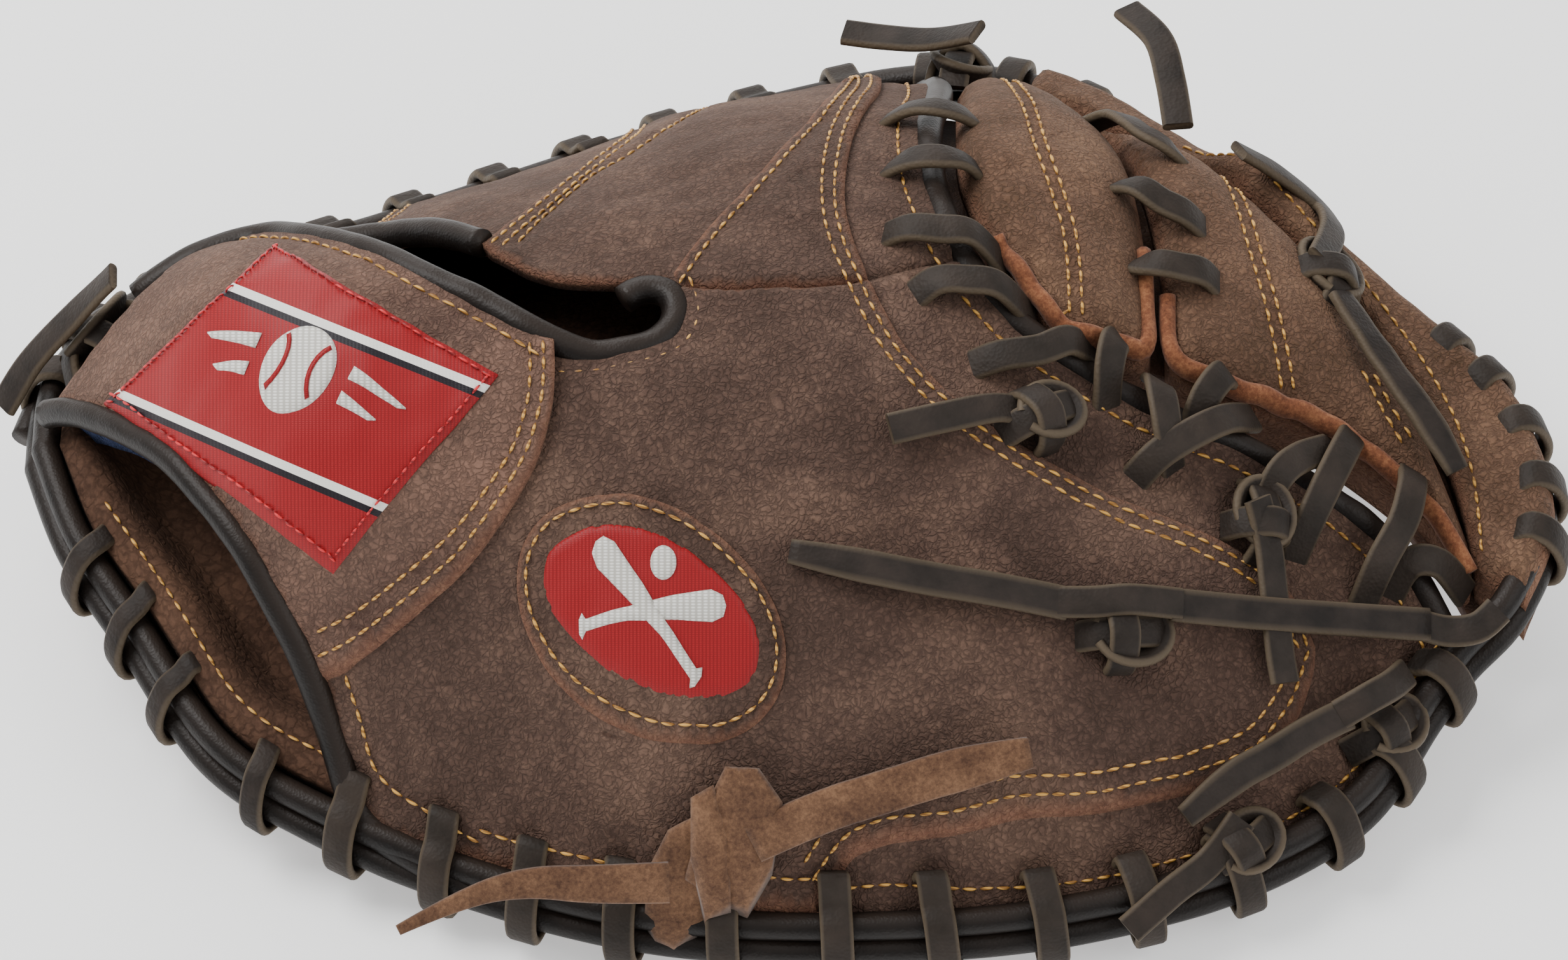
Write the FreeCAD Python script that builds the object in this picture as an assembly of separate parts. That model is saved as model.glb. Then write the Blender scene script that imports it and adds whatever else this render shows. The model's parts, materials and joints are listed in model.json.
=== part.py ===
"""A baseball catcher's mitt for the left hand, lying palm down. Millimetres.

+X runs from the heel to the web, +Y from the thumb rim to the finger rim, +Z up out of the back.
Three height fields over the plan carry every leather piece: the back, the palm face and the pad.
The mitt folds about one slanting line from the heel to the crotch of the web. Pieces that cross that
line are cut in two there, and both halves stand back from it far enough for the whole fold.
"""
import FreeCAD, Part
import math
import os
from FreeCAD import Vector

# Overall sizes of the mitt, and the sizes that the plan tables below are drawn at.
MITT_LENGTH = 278.0
MITT_WIDTH = 218.0
CROWN_HEIGHT = 91.0
DRAWN_LENGTH = 278.0
DRAWN_WIDTH = 218.0
DRAWN_HEIGHT = 91.0

# Leathers, padding and lining.
BACK_LEATHER = 2.6
PALM_LEATHER = 3.2
LINER_LEATHER = 1.6
FLEECE = 3.6
PAD_SCALE = 1.0
REST_SINK = 1.0
STRAP_RISE_SEAM = 3.2
STRAP_RISE_FINGER = 6.4
PATCH_THICKNESS = 1.0

# Rolled edges, bindings and laces.
ROLL_DIAMETER = 5.6
BINDING_DIAMETER = 5.8
LACE_WIDTH = 6.6
LACE_THICKNESS = 2.2
LACE_PITCH = 19.5
CORD_DIAMETER = 6.6
KNOT_DIAMETER = 14.0
KNOT_THICKNESS = 8.0

# Where the middle of each rim roll lies: inside the rim and above it.
ROLL_GAP = 0.4
PALM_ROLL_DROP = 3.5
ROLLS = {"back_roll": (2.0, ROLL_DIAMETER + ROLL_GAP - PALM_ROLL_DROP), "palm_roll": (0.0, -PALM_ROLL_DROP)}

# The web.
TUBE_THICKNESS = 9.0
WEB_LEATHER = 2.6

# Clearances.
PLY_GAP = 0.3
SEAM_GAP = 0.5
HINGE_GAP = 0.5
END_GAP = 6.0

# The fold: a line in space, and how far the thumb side turns about it each way.
FOLD_HEEL = (-100.0, -31.0, 39.0)
FOLD_CROTCH = (40.0, 1.0, 53.0)
FOLD_CLOSE = 24.0
FOLD_OPEN = 6.0

# Grid of the height fields, and how far past the plan their sheets reach.
GRID_X = 33
GRID_Y = 27
SHEET_MARGIN = 14.0

SX = MITT_LENGTH / DRAWN_LENGTH
SY = MITT_WIDTH / DRAWN_WIDTH
SZ = CROWN_HEIGHT / DRAWN_HEIGHT
ROLL = ROLL_DIAMETER / 2
BINDING = BINDING_DIAMETER / 2

# The rim, counter-clockwise from the middle of the heel: x, y, height of its rolled edge.
HEEL_RIM = [(-138, 54, 34), (-138, 33, 31), (-133, 11, 26), (-126, -18, 20), (-110, -39, 16),
            (-88, -60, 13)]
THUMB_RIM = [(-88, -60, 13), (-60, -80, 11), (-27, -95, 11), (12, -106, 11), (50, -109, 12), (80, -103, 14),
             (101, -88, 19), (111, -81, 22)]
WEB_RIM = [(111, -81, 22), (124, -75, 27), (136, -60, 30), (140, -34, 32), (132, -12, 34), (121, 13, 35),
           (110, 39, 33), (98, 63, 30), (84, 87, 24), (65, 103, 17)]
FINGER_RIM = [(65, 103, 17), (40, 109, 13), (6, 109, 13), (-34, 105, 15), (-72, 100, 19), (-106, 92, 26),
              (-128, 75, 31), (-138, 54, 34)]

# Heights of the back over the hand.
CROWN = [(-102, 1, 76), (-106, 36, 80), (-102, 66, 62), (-72, 6, 87), (-32, 6, 91), (8, 9, 90),
         (40, 11, 84), (78, 1, 68), (110, 6, 52), (-77, -39, 50), (-37, -54, 62), (3, -54, 66),
         (43, -54, 62), (78, -54, 50), (-77, 56, 71), (-37, 61, 69), (-2, 64, 69), (38, 66, 64),
         (78, 56, 54), (-12, -84, 38), (38, -86, 38), (73, -82, 34), (-47, -70, 38), (-2, 93, 39),
         (38, 92, 38), (-52, 86, 44), (108, -44, 42), (110, 36, 44)]

# Heights of the palm face: it rests on a ring inside the rim and rises into the pocket.
PALM = [(-114, -9, 8), (-120, 18, 12), (-120, 48, 16), (-106, 72, 14), (-97, -30, 6), (-62, -64, 1),
        (-22, -78, 0), (18, -87, 0), (53, -88, 2), (83, -76, 8), (-77, 82, 6), (-42, 88, 1),
        (-2, 92, 0), (38, 90, 3), (62, 86, 11), (-82, 16, 24), (-82, 51, 18), (-82, -16, 18),
        (-42, 11, 40), (-42, 51, 26), (-42, -32, 26), (-2, 6, 52), (-2, 51, 34), (-2, -39, 32),
        (38, 1, 66), (43, 41, 50), (38, -39, 42), (78, 1, 57), (106, -24, 38), (98, 36, 44),
        (110, -56, 24), (70, -64, 26)]
PALM_RIM_DROP = 6.5

# Thickness of the palm pad.
PAD_AT_RIM = 4.0
PAD_LEAST = 0.8
PAD = [(-114, -9, 9), (-120, 18, 9), (-120, 48, 9), (-97, -30, 12), (-62, -62, 17), (-22, -74, 20),
       (18, -82, 20), (53, -82, 15), (83, -70, 9), (-77, 78, 13), (-42, 82, 18), (-2, 86, 20),
       (38, 84, 15), (62, 82, 9), (-82, 16, 10), (-42, 11, 8), (-2, 6, 7), (-42, 51, 12),
       (-42, -32, 12), (-2, 51, 12), (-2, -39, 12), (38, 1, 4), (43, 41, 6), (38, -39, 8),
       (-82, 51, 10), (-82, -16, 10), (78, 1, 3), (106, -24, 3), (98, 36, 3)]

# Edges and seams in plan.
WEB_EDGE = [(111, -81), (106, -62), (96, -49), (82, -40), (67, -33), (53, -24), (42, -12), (37, 2),
            (37, 16), (40, 30), (46, 46), (54, 62), (61, 82), (65, 103)]
OVERLAY_CROTCH = [(64, -56), (46, -47), (28, -33), (18, -17), (16, 0)]
OVERLAY_FINGER = [(16, 0), (18, 18), (28, 41), (44, 68), (56, 106)]
OVERLAY_TIP = [(-29, -95), (-11, -89), (14, -92), (40, -95), (58, -94), (73, -87), (81, -76), (78, -65),
               (64, -56)]
UNDERLAY_TIP = [(-29, -87), (-11, -81), (14, -84), (40, -87), (56, -86), (68, -79), (72, -72), (64, -65),
                (42, -54), (21, -39), (10, -21), (8, 0)]
UNDERLAY_FINGER = [(8, 0), (10, 20), (20, 45), (36, 72), (48, 107)]
STRAP_SEAM = [(-48, 1), (-50, -5), (-59, -18), (-75, -26), (-91, -27), (-106, -24)]
STRAP_SLOT = [(-88, 66), (-80, 53), (-73, 38), (-66, 25), (-58, 15), (-48, 1)]
STRAP_WRIST = [(-106, -24), (-110, -12), (-117, 14), (-121, 27), (-129, 47), (-134, 58)]
STRAP_END = [(-134, 58), (-112, 64), (-88, 66)]
SLOT_TURN = [(-48, 1), (-40, -2), (-29, -3), (-23, 1), (-22, 9)]
SLOT_FINGER = [(-22, 9), (-40, 18), (-47, 28), (-50, 38), (-59, 54), (-72, 64), (-94, 70), (-112, 73),
               (-128, 75)]
SEAM_INDEX = [(-22, 9), (-10, 20), (14, 42), (28, 59), (40, 80), (48, 107)]
SEAM_RING = [(-50, 38), (-35, 50), (-20, 64), (-8, 78), (4, 109)]
SEAM_PINKY = [(-72, 64), (-62, 74), (-54, 86), (-48, 103)]
# Drawn past the fold, where each body's room cuts the panel: the thumb panel's run and the index panel's.
PAST_FOLD_THUMB = [(16, 16), (-106, -14)]
PAST_FOLD_INDEX = [(-52, -30), (16, -18)]
# Where the seams meet the rim.
TIP_FOOT = (-29, -95)
INDEX_FOOT = (48, 107)
OVERLAY_FOOT = (56, 106)
RING_FOOT = (4, 109)
PINKY_FOOT = (-48, 103)
MIDDLE_EDGE = (26, 109)
RING_EDGE = (-22, 106)
CROTCH_PAST_FOLD = [(14, -14), (37, -14)]
WRIST_THUMB = [(-106, -24), (-105, -32), (-104, -40), (-99, -48), (-88, -60)]
TUBE_A = [[(62, 72), (52, 47), (45, 26), (44, 6), (48, -10), (56, -18)], [(56, -18), (67, -20)],
          [(67, -20), (75, -6), (79, 16), (82, 34), (82, 52), (78, 68)], [(78, 68), (62, 72)]]
TUBE_B = [[(71, -22), (78, -2), (82, 16), (85, 34), (86, 50), (84, 62)], [(84, 62), (89, 56)],
          [(89, 56), (96, 42), (104, 26), (114, 0), (119, -26), (119, -50), (116, -70)],
          [(116, -70), (108, -52), (96, -41), (82, -32), (71, -22)]]

# The label on the strap, and the oval patch on the thumb.
LABEL = [(-60, 0), (-86, 56), (-125, 47), (-99, -15)]
OVAL_CENTRE = (-45.0, -46.0)
OVAL_LONG = 23.0
OVAL_SHORT = 11.0
OVAL_TURN = -42.0
OVAL_RING_WIDTH = 3.4

# Knots: plan positions.
KNOTS_THUMB = {"crotch": (39, -34), "web_foot": (76, -55), "taut": (42, -72), "tip": (90, -90),
               "rim": (55, -104), "web_top": (110, -3)}
KNOTS_FINGER = {"strap": (-119, 68), "finger_tip": (67, 84)}
THONG_KNOT = (-46.0, -81.0)
KNOT_LIFT = 1.2

# The two finger loops inside the hand space.
LOOPS = {"thumb_loop": (-14, -44), "pinky_loop": (-64, 44)}
LOOP_RADIUS = 7.0
LOOP_LIFT = 0.8
LOOP_ALONG = (1.0, 0.1, 0.0)

# Free lace ends and the long lace that is pulled tight: x, y, z of the middle of the lace.
TAIL_TAUT = [(32, -68, 58), (21, -65, 63), (8, -60, 66), (-5, -56, 71), (-18, -49, 73)]
TAIL_THONG_RIGHT = [(-38, -83, 32), (-25, -84, 37), (-12, -86, 40), (2, -87, 42), (17, -88, 42)]
TAIL_THONG_LEFT = [(-55, -83, 27), (-68, -79, 27), (-81, -74, 28), (-94, -73, 27), (-107, -74, 24)]
TAIL_WEB_TOP = [(111, -11, 56), (113, -22, 54), (115, -32, 52), (118, -43, 49), (120, -52, 44)]
TAIL_TIP = [(82, -91, 30), (74, -93, 31), (64, -96, 30), (55, -98, 30), (44, -102, 27)]
TAUT_LACE = [(52, -72, 54), (70, -74, 46), (88, -76, 39), (104, -78, 33)]


def scaled(points):
    """Table points at the size of this mitt."""
    factors = (SX, SY, SZ)
    return [tuple(value * factor for value, factor in zip(point, factors)) for point in points]


def solve(rows, values):
    """Solves a square linear system by elimination with row pivots."""
    size = len(values)
    table = [list(row) + [value] for row, value in zip(rows, values)]
    for column in range(size):
        pivot = max(range(column, size), key=lambda index: abs(table[index][column]))
        table[column], table[pivot] = table[pivot], table[column]
        lead = table[column]
        for row in table[column + 1:]:
            share = row[column] / lead[column]
            for index in range(column, size + 1):
                row[index] -= share * lead[index]
    result = [0.0] * size
    for row in reversed(range(size)):
        rest = sum(table[row][index] * result[index] for index in range(row + 1, size))
        result[row] = (table[row][size] - rest) / table[row][row]
    return result


class HeightField:
    """The smooth surface of least bending through scattered heights over the plan."""

    def __init__(self, points, slack=0.0):
        self.points = [(x, y) for x, y, z in points]
        count = len(points)
        rows = []
        for i, (x, y) in enumerate(self.points):
            row = [self.kernel(x - px, y - py) for px, py in self.points]
            row[i] += slack
            rows.append(row + [1.0, x, y])
        rows.append([1.0] * count + [0.0] * 3)
        rows.append([x for x, y in self.points] + [0.0] * 3)
        rows.append([y for x, y in self.points] + [0.0] * 3)
        self.weights = solve(rows, [z for x, y, z in points] + [0.0] * 3)

    @staticmethod
    def kernel(dx, dy):
        square = dx * dx + dy * dy
        return 0.5 * square * math.log(square) if square > 0 else 0.0

    def __call__(self, x, y):
        bends = sum(w * self.kernel(x - px, y - py) for w, (px, py) in zip(self.weights, self.points))
        level, tilt_x, tilt_y = self.weights[-3:]
        return bends + level + tilt_x * x + tilt_y * y


RIM = HEEL_RIM[:-1] + THUMB_RIM[:-1] + WEB_RIM[:-1] + FINGER_RIM[:-1]
BACK_SLACK = 30.0
back_field = HeightField(scaled(RIM + CROWN), BACK_SLACK)
palm_field = HeightField(scaled([(x, y, z - PALM_RIM_DROP) for x, y, z in RIM] + PALM))
pad_field = HeightField([(x, y, t * PAD_SCALE) for (x, y), t in zip(
    scaled([(x, y) for x, y, z in RIM + PAD]), [PAD_AT_RIM] * len(RIM) + [t for x, y, t in PAD])])


STEEPEST = 1.7


def steepness(x, y):
    """Vertical depth of a sheet of unit thickness that lies on the back."""
    step = 2.0
    rise_x = (back_field(x + step, y) - back_field(x - step, y)) / (2 * step)
    rise_y = (back_field(x, y + step) - back_field(x, y - step)) / (2 * step)
    return min(math.hypot(1.0, math.hypot(rise_x, rise_y)), STEEPEST)


def back(depth):
    """Height function of the layer that lies depth below the back's outer face."""
    return lambda x, y: back_field(x, y) - depth * steepness(x, y)


def strap_rise(x, y):
    share = min(max((y / SY + 24.0) / 90.0, 0.0), 1.0)
    return STRAP_RISE_SEAM + (STRAP_RISE_FINGER - STRAP_RISE_SEAM) * share


def strap(depth):
    """Height function of the layer that lies depth below the strap's outer face."""
    return lambda x, y: back_field(x, y) + strap_rise(x, y) - depth * steepness(x, y)


PALM_LOW = min(palm_field(SX * x, SY * y) for x in range(-132, 110, 4) for y in range(-104, 110, 4))


def palm(height):
    """Height function of the layer that lies height above the palm face."""
    return lambda x, y: palm_field(x, y) - PALM_LOW - REST_SINK + height


def pad_top(x, y):
    """Top of the palm pad: its own thickness, but always clear of the back."""
    low = palm(PALM_LEATHER + PLY_GAP)(x, y)
    roof = back(BACK_LEATHER * 2 + PLY_GAP * 3 + LINER_LEATHER)(x, y) - PLY_GAP
    return max(min(low + pad_field(x, y), roof), low + PAD_LEAST)


def liner_top(x, y):
    return pad_top(x, y) + PLY_GAP + LINER_LEATHER


def height_sheet(height, corners):
    """A smooth sheet through a grid of heights over a rectangle of the plan."""
    (x0, y0), (x1, y1) = corners
    rows = []
    for i in range(GRID_X):
        x = x0 + (x1 - x0) * i / (GRID_X - 1)
        rows.append([Vector(x, y0 + (y1 - y0) * j / (GRID_Y - 1), 0) for j in range(GRID_Y)])
    for row in rows:
        for point in row:
            point.z = height(point.x, point.y)
    surface = Part.BSplineSurface()
    surface.interpolate(rows)
    return surface


def slab(top, bottom, corners):
    """The solid between two height functions over a rectangle of the plan."""
    upper = height_sheet(top, corners)
    lower = height_sheet(bottom, corners)
    faces = [upper.toShape(), lower.toShape()]
    for pick in ("u0", "u1", "v0", "v1"):
        index = 0.0 if pick[1] == "0" else 1.0
        if pick[0] == "u":
            pair = [sheet.uIso(index).toShape() for sheet in (upper, lower)]
        else:
            pair = [sheet.vIso(index).toShape() for sheet in (upper, lower)]
        faces.append(Part.makeRuledSurface(*pair))
    shell = Part.makeShell(faces)
    shell.sewShape()
    solid = Part.makeSolid(shell)
    if solid.Volume < 0:
        solid.reverse()
    return solid


def smooth(points):
    """A finer run of points on the smooth curve through the given ones."""
    if len(points) == 2:
        return list(points)
    ends = [points[0]] + list(points) + [points[-1]]
    fine = []
    for a, b, c, d in zip(ends, ends[1:], ends[2:], ends[3:]):
        for step in range(3):
            t = step / 3.0
            fine.append(tuple(0.5 * (2 * q + (r - p) * t + (2 * p - 5 * q + 4 * r - s) * t * t
                                     + (3 * q - p - 3 * r + s) * t ** 3) for p, q, r, s in zip(a, b, c, d)))
    return fine + [points[-1]]


def inset_corner(before, point, after, inset_before, inset_after):
    """Where two edges of an outline meet once each has moved inwards by its own inset."""
    ax, ay = point[0] - before[0], point[1] - before[1]
    bx, by = after[0] - point[0], after[1] - point[1]
    la, lb = math.hypot(ax, ay), math.hypot(bx, by)
    na, nb = (-ay / la, ax / la), (-by / lb, bx / lb)
    turn = na[0] * nb[1] - na[1] * nb[0]
    if abs(turn) < 0.35:
        middle = (inset_before + inset_after) / 2
        nx, ny = na[0] + nb[0], na[1] + nb[1]
        size = math.hypot(nx, ny)
        return point[0] + nx / size * middle, point[1] + ny / size * middle
    dx = (inset_before * nb[1] - inset_after * na[1]) / turn
    dy = (inset_after * na[0] - inset_before * nb[0]) / turn
    return point[0] + dx, point[1] + dy


def untangled(points, run):
    """Drops the inset points of a side that its end corners have moved past."""
    ahead = Vector(run[1][0] - run[0][0], run[1][1] - run[0][1], 0).normalize()
    behind = Vector(run[-1][0] - run[-2][0], run[-1][1] - run[-2][1], 0).normalize()
    inner = points[1:-1]
    while inner and (inner[0] - points[0]).dot(ahead) < 1.0:
        inner = inner[1:]
    while inner and (points[-1] - inner[-1]).dot(behind) < 1.0:
        inner = inner[:-1]
    return [points[0]] + inner + [points[-1]]


def prism(*sides):
    """A tall prism over a plan outline of (points, inset) sides that run counter-clockwise."""
    runs = [(smooth(scaled([p[:2] for p in points])), inset) for points, inset in sides]
    loop = [(run[k], run[k + 1], inset) for run, inset in runs for k in range(len(run) - 1)]
    moved = []
    for index, (start, end, inset) in enumerate(loop):
        before, _, inset_before = loop[index - 1]
        moved.append(inset_corner(before, start, end, inset_before, inset))
    edges = []
    first = 0
    for run, inset in runs:
        last = first + len(run) - 1
        points = [Vector(*moved[k % len(moved)], -60) for k in range(first, last + 1)]
        first = last
        points = untangled(points, run)
        if len(points) == 2:
            edges.append(Part.LineSegment(*points).toShape())
        else:
            curve = Part.BSplineCurve()
            curve.interpolate(points)
            edges.append(curve.toShape())
    return Part.Face(Part.Wire(edges)).extrude(Vector(0, 0, 300))


X_LOW = SX * min(x for x, y, z in RIM) - SHEET_MARGIN
X_HIGH = SX * max(x for x, y, z in RIM) + SHEET_MARGIN
Y_LOW = SY * min(y for x, y, z in RIM) - SHEET_MARGIN
Y_HIGH = SY * max(y for x, y, z in RIM) + SHEET_MARGIN
PLAN = ((X_LOW, Y_LOW), (X_HIGH, Y_HIGH))

# The fold line in space, and the two wedges of room that the bodies keep to.
fold_a = Vector(*scaled([FOLD_HEEL])[0])
fold_b = Vector(*scaled([FOLD_CROTCH])[0])
fold_axis = (fold_b - fold_a).normalize()
fold_side = Vector(0, 0, 1).cross(fold_axis).normalize()
fold_up = fold_axis.cross(fold_side).normalize()


def body_room(side):
    """The room of one body: +1 is the finger side of the fold, -1 the thumb side."""
    reach = 260.0
    high = reach * math.tan(math.radians(FOLD_OPEN / 2))
    low = reach * math.tan(math.radians(FOLD_CLOSE / 2))
    section = [(HINGE_GAP / 2 + high, reach), (HINGE_GAP / 2, 0), (HINGE_GAP / 2 + low, -reach),
               (2 * reach, -reach), (2 * reach, reach)]
    start = fold_a - fold_axis * reach
    corners = [start + fold_side * (side * across) + fold_up * up for across, up in section]
    return Part.Face(Part.makePolygon(corners + corners[:1])).extrude(fold_axis * (3 * reach))


ROOM = {"finger": body_room(1), "thumb": body_room(-1)}


def biggest(shape):
    """The largest solid of a cut, without slivers."""
    return max(shape.Solids, key=lambda solid: solid.Volume)


def on_side(shape, side):
    return biggest(shape.common(ROOM[side]))


def rounded_path(points):
    """Straight runs joined by tangent arcs, each as large as its two runs allow."""
    edges = []
    start = points[0]
    for before, corner, after in zip(points, points[1:], points[2:]):
        run_in = corner - before
        run_out = after - corner
        turn = run_in.getAngle(run_out)
        shorter = min(run_in.Length, run_out.Length)
        radius = 0.45 * shorter / math.tan(turn / 2)
        cut = radius * math.tan(turn / 2)
        arc_in = corner - run_in.normalize() * cut
        arc_out = corner + run_out.normalize() * cut
        to_centre = (arc_in + arc_out) / 2 - corner
        middle = corner + to_centre.normalize() * (radius / math.cos(turn / 2) - radius)
        edges.append(Part.LineSegment(start, arc_in).toShape())
        edges.append(Part.Arc(arc_in, middle, arc_out).toShape())
        start = arc_out
    edges.append(Part.LineSegment(start, points[-1]).toShape())
    return Part.Wire(edges)


def tube(points, diameter):
    """A round tube along a path of runs and arcs."""
    path = rounded_path(points)
    direction = points[1] - points[0]
    ring = Part.Wire(Part.Circle(points[0], direction, diameter / 2).toShape())
    solid = path.makePipeShell([ring], True, False)
    share = solid.Volume / (math.pi * diameter ** 2 / 4 * path.Length)
    print("tube", len(points), "points, volume share", round(share, 3))
    return solid


def lifted(points, height, lift=0.0):
    """Space points over the plan points of a table, on a height function."""
    return [Vector(x, y, height(x, y) + lift) for x, y in scaled([p[:2] for p in points])]


def lace_hoop(centre, along, outward, inner, start, turn):
    """A flat lace that wraps round a rolled edge: a band turned about the edge's direction."""
    along = Vector(along).normalize()
    outward = (outward - along * outward.dot(along)).normalize()
    corners = []
    for reach, shift in ((0, -0.5), (1, -0.5), (1, 0.5), (0, 0.5)):
        point = centre + outward * (inner + reach * LACE_THICKNESS) + along * (shift * LACE_WIDTH)
        corners.append(point)
    face = Part.Face(Part.makePolygon(corners + corners[:1]))
    face.rotate(centre, along, start)
    return face.revolve(centre, along, turn)


def along_path(points, distance):
    """The point and the direction at a distance along a run of points."""
    for start, end in zip(points, points[1:]):
        span = (end - start).Length
        if distance <= span:
            direction = (end - start).normalize()
            return start + direction * distance, direction
        distance -= span
    direction = (points[-1] - points[-2]).normalize()
    return Vector(points[-1]), direction


def path_length(points):
    return sum((end - start).Length for start, end in zip(points, points[1:]))


def rim_hoops(points, margin):
    """The perimeter lace's hoops round both rim rolls, a pitch apart."""
    path = [Vector(*p) for p in scaled(points)]
    length = path_length(path) - 2 * margin
    count = max(int(length / LACE_PITCH), 1)
    hoops = []
    for index in range(count + 1):
        point, direction = along_path(path, margin + length * index / count)
        outward = direction.cross(Vector(0, 0, 1)).normalize()
        centre = point - outward * 1.0 - Vector(0, 0, 0.5)
        hoops.append(lace_hoop(centre, direction, outward, ROLL * 2 + PLY_GAP * 2, -62, 124))
    return hoops


def edge_hoops(points, height, inner, count, turn):
    """Hoops of lace over a bound edge that lies on the back."""
    path = lifted(points, height, -BINDING)
    length = path_length(path)
    hoops = []
    for index in range(count):
        point, direction = along_path(path, length * (index + 0.5) / count)
        hoops.append(lace_hoop(point, direction, Vector(0, 0, 1), inner, -turn / 2, turn))
    return hoops


def knot(place, lift):
    """A lace knot: a ball with its top and bottom pressed flat, just clear of the leather."""
    (x, y), = scaled([place])
    middle = Vector(x, y, back_field(x, y) + lift + KNOT_THICKNESS / 2)
    ball = Part.makeSphere(KNOT_DIAMETER / 2, middle)
    press = Part.makeBox(KNOT_DIAMETER, KNOT_DIAMETER, KNOT_THICKNESS)
    press.translate(middle - Vector(KNOT_DIAMETER / 2, KNOT_DIAMETER / 2, KNOT_THICKNESS / 2))
    return ball.common(press)


def cord(points):
    """A free lace end as a round tube as wide as the lace."""
    return tube([Vector(*point) for point in scaled(points)], CORD_DIAMETER)


def ellipse_side(shrink):
    """The oval patch's outline as one closed run of points."""
    turn = math.radians(OVAL_TURN)
    points = []
    for step in range(17):
        angle = 2 * math.pi * step / 16
        u = (OVAL_LONG - shrink) * math.cos(angle)
        v = (OVAL_SHORT - shrink) * math.sin(angle)
        points.append((OVAL_CENTRE[0] + u * math.cos(turn) - v * math.sin(turn),
                       OVAL_CENTRE[1] + u * math.sin(turn) + v * math.cos(turn)))
    return points


# How far each layer's edge lies inside the rim, the bindings and its neighbours.
RIM_INSET = ROLL_DIAMETER + 0.6
PALM_INSET = ROLL + 1.2
PAD_BACK = 4.0
LINER_BACK = 6.0
FLEECE_BACK = 9.0
EDGE_INSET = BINDING + PLY_GAP
JOIN = SEAM_GAP / 2


def reversed_side(points):
    return list(reversed(points))


def body_outline(rim_inset, web_inset):
    """The padded body of the mitt: the rim, closed by the edge that the web is laced to."""
    return prism((HEEL_RIM, rim_inset), (THUMB_RIM, rim_inset), (WEB_EDGE, web_inset),
                 (FINGER_RIM, rim_inset))


def palm_parts(parts):
    corner = Vector(-1.5 * MITT_LENGTH, -1.5 * MITT_WIDTH, -50)
    floor = Part.makeBox(3 * MITT_LENGTH, 3 * MITT_WIDTH, 50, corner)
    layers = {"palm_shell": (palm(PALM_LEATHER), palm(0.0), PALM_INSET),
              "palm_pad": (pad_top, palm(PALM_LEATHER + PLY_GAP), PALM_INSET + PAD_BACK),
              "palm_liner": (liner_top, lambda x, y: pad_top(x, y) + PLY_GAP, PALM_INSET + LINER_BACK)}
    for name, (top, bottom, inset) in layers.items():
        whole = slab(top, bottom, PLAN).common(body_outline(inset, EDGE_INSET + inset / 2)).cut(floor)
        for side in ROOM:
            parts[name + "_" + side] = on_side(whole, side)


def back_parts(parts):
    outer = slab(back(0.0), back(BACK_LEATHER), PLAN)
    under = slab(back(BACK_LEATHER + PLY_GAP), back(BACK_LEATHER * 2 + PLY_GAP), PLAN)
    thumb = prism(([PAST_FOLD_THUMB[-1], STRAP_SEAM[-1]], 0), (WRIST_THUMB, EDGE_INSET),
                  (THUMB_RIM[:2] + [TIP_FOOT], RIM_INSET), (OVERLAY_TIP, JOIN), (OVERLAY_CROTCH, JOIN),
                  ([OVERLAY_CROTCH[-1], PAST_FOLD_THUMB[0]], 0), (PAST_FOLD_THUMB, 0))
    parts["thumb_back_panel"] = on_side(outer.common(thumb), "thumb")
    thumb_rim = prism(([UNDERLAY_TIP[0], TIP_FOOT], 0), ([TIP_FOOT] + THUMB_RIM[3:], RIM_INSET),
                      (WEB_EDGE[:8], EDGE_INSET), ([WEB_EDGE[7], UNDERLAY_TIP[-1]], 0),
                      (reversed_side(UNDERLAY_TIP), 0))
    parts["thumb_rim_panel"] = on_side(under.common(thumb_rim), "thumb")
    crotch = prism(([UNDERLAY_FINGER[0]] + CROTCH_PAST_FOLD + [WEB_EDGE[7]], 0), (WEB_EDGE[7:], EDGE_INSET),
                   ([WEB_EDGE[-1], INDEX_FOOT], RIM_INSET), (reversed_side(UNDERLAY_FINGER), 0))
    parts["finger_crotch_panel"] = on_side(under.common(crotch), "finger")
    index = prism(([STRAP_SEAM[2]] + PAST_FOLD_INDEX + [OVERLAY_FINGER[0]], 0), (OVERLAY_FINGER, JOIN),
                  ([OVERLAY_FOOT, INDEX_FOOT], RIM_INSET), (reversed_side(SEAM_INDEX), JOIN),
                  (reversed_side(SLOT_TURN), EDGE_INSET), (STRAP_SEAM[:3], JOIN))
    parts["finger_panel_index"] = on_side(outer.common(index), "finger")
    middle = prism((SEAM_INDEX, JOIN), ([INDEX_FOOT, MIDDLE_EDGE, RING_FOOT], RIM_INSET),
                   (reversed_side(SEAM_RING), JOIN), (reversed_side(SLOT_FINGER[:4]), EDGE_INSET))
    parts["finger_panel_middle"] = on_side(outer.common(middle), "finger")
    ring = prism((SEAM_RING, JOIN), ([RING_FOOT, RING_EDGE, PINKY_FOOT], RIM_INSET),
                 (reversed_side(SEAM_PINKY), JOIN), (reversed_side(SLOT_FINGER[3:6]), EDGE_INSET))
    parts["finger_panel_ring"] = on_side(outer.common(ring), "finger")
    pinky = prism((SEAM_PINKY, JOIN), ([PINKY_FOOT] + FINGER_RIM[4:7], RIM_INSET),
                  (reversed_side(SLOT_FINGER[5:]), EDGE_INSET))
    parts["finger_panel_pinky"] = on_side(outer.common(pinky), "finger")


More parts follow.
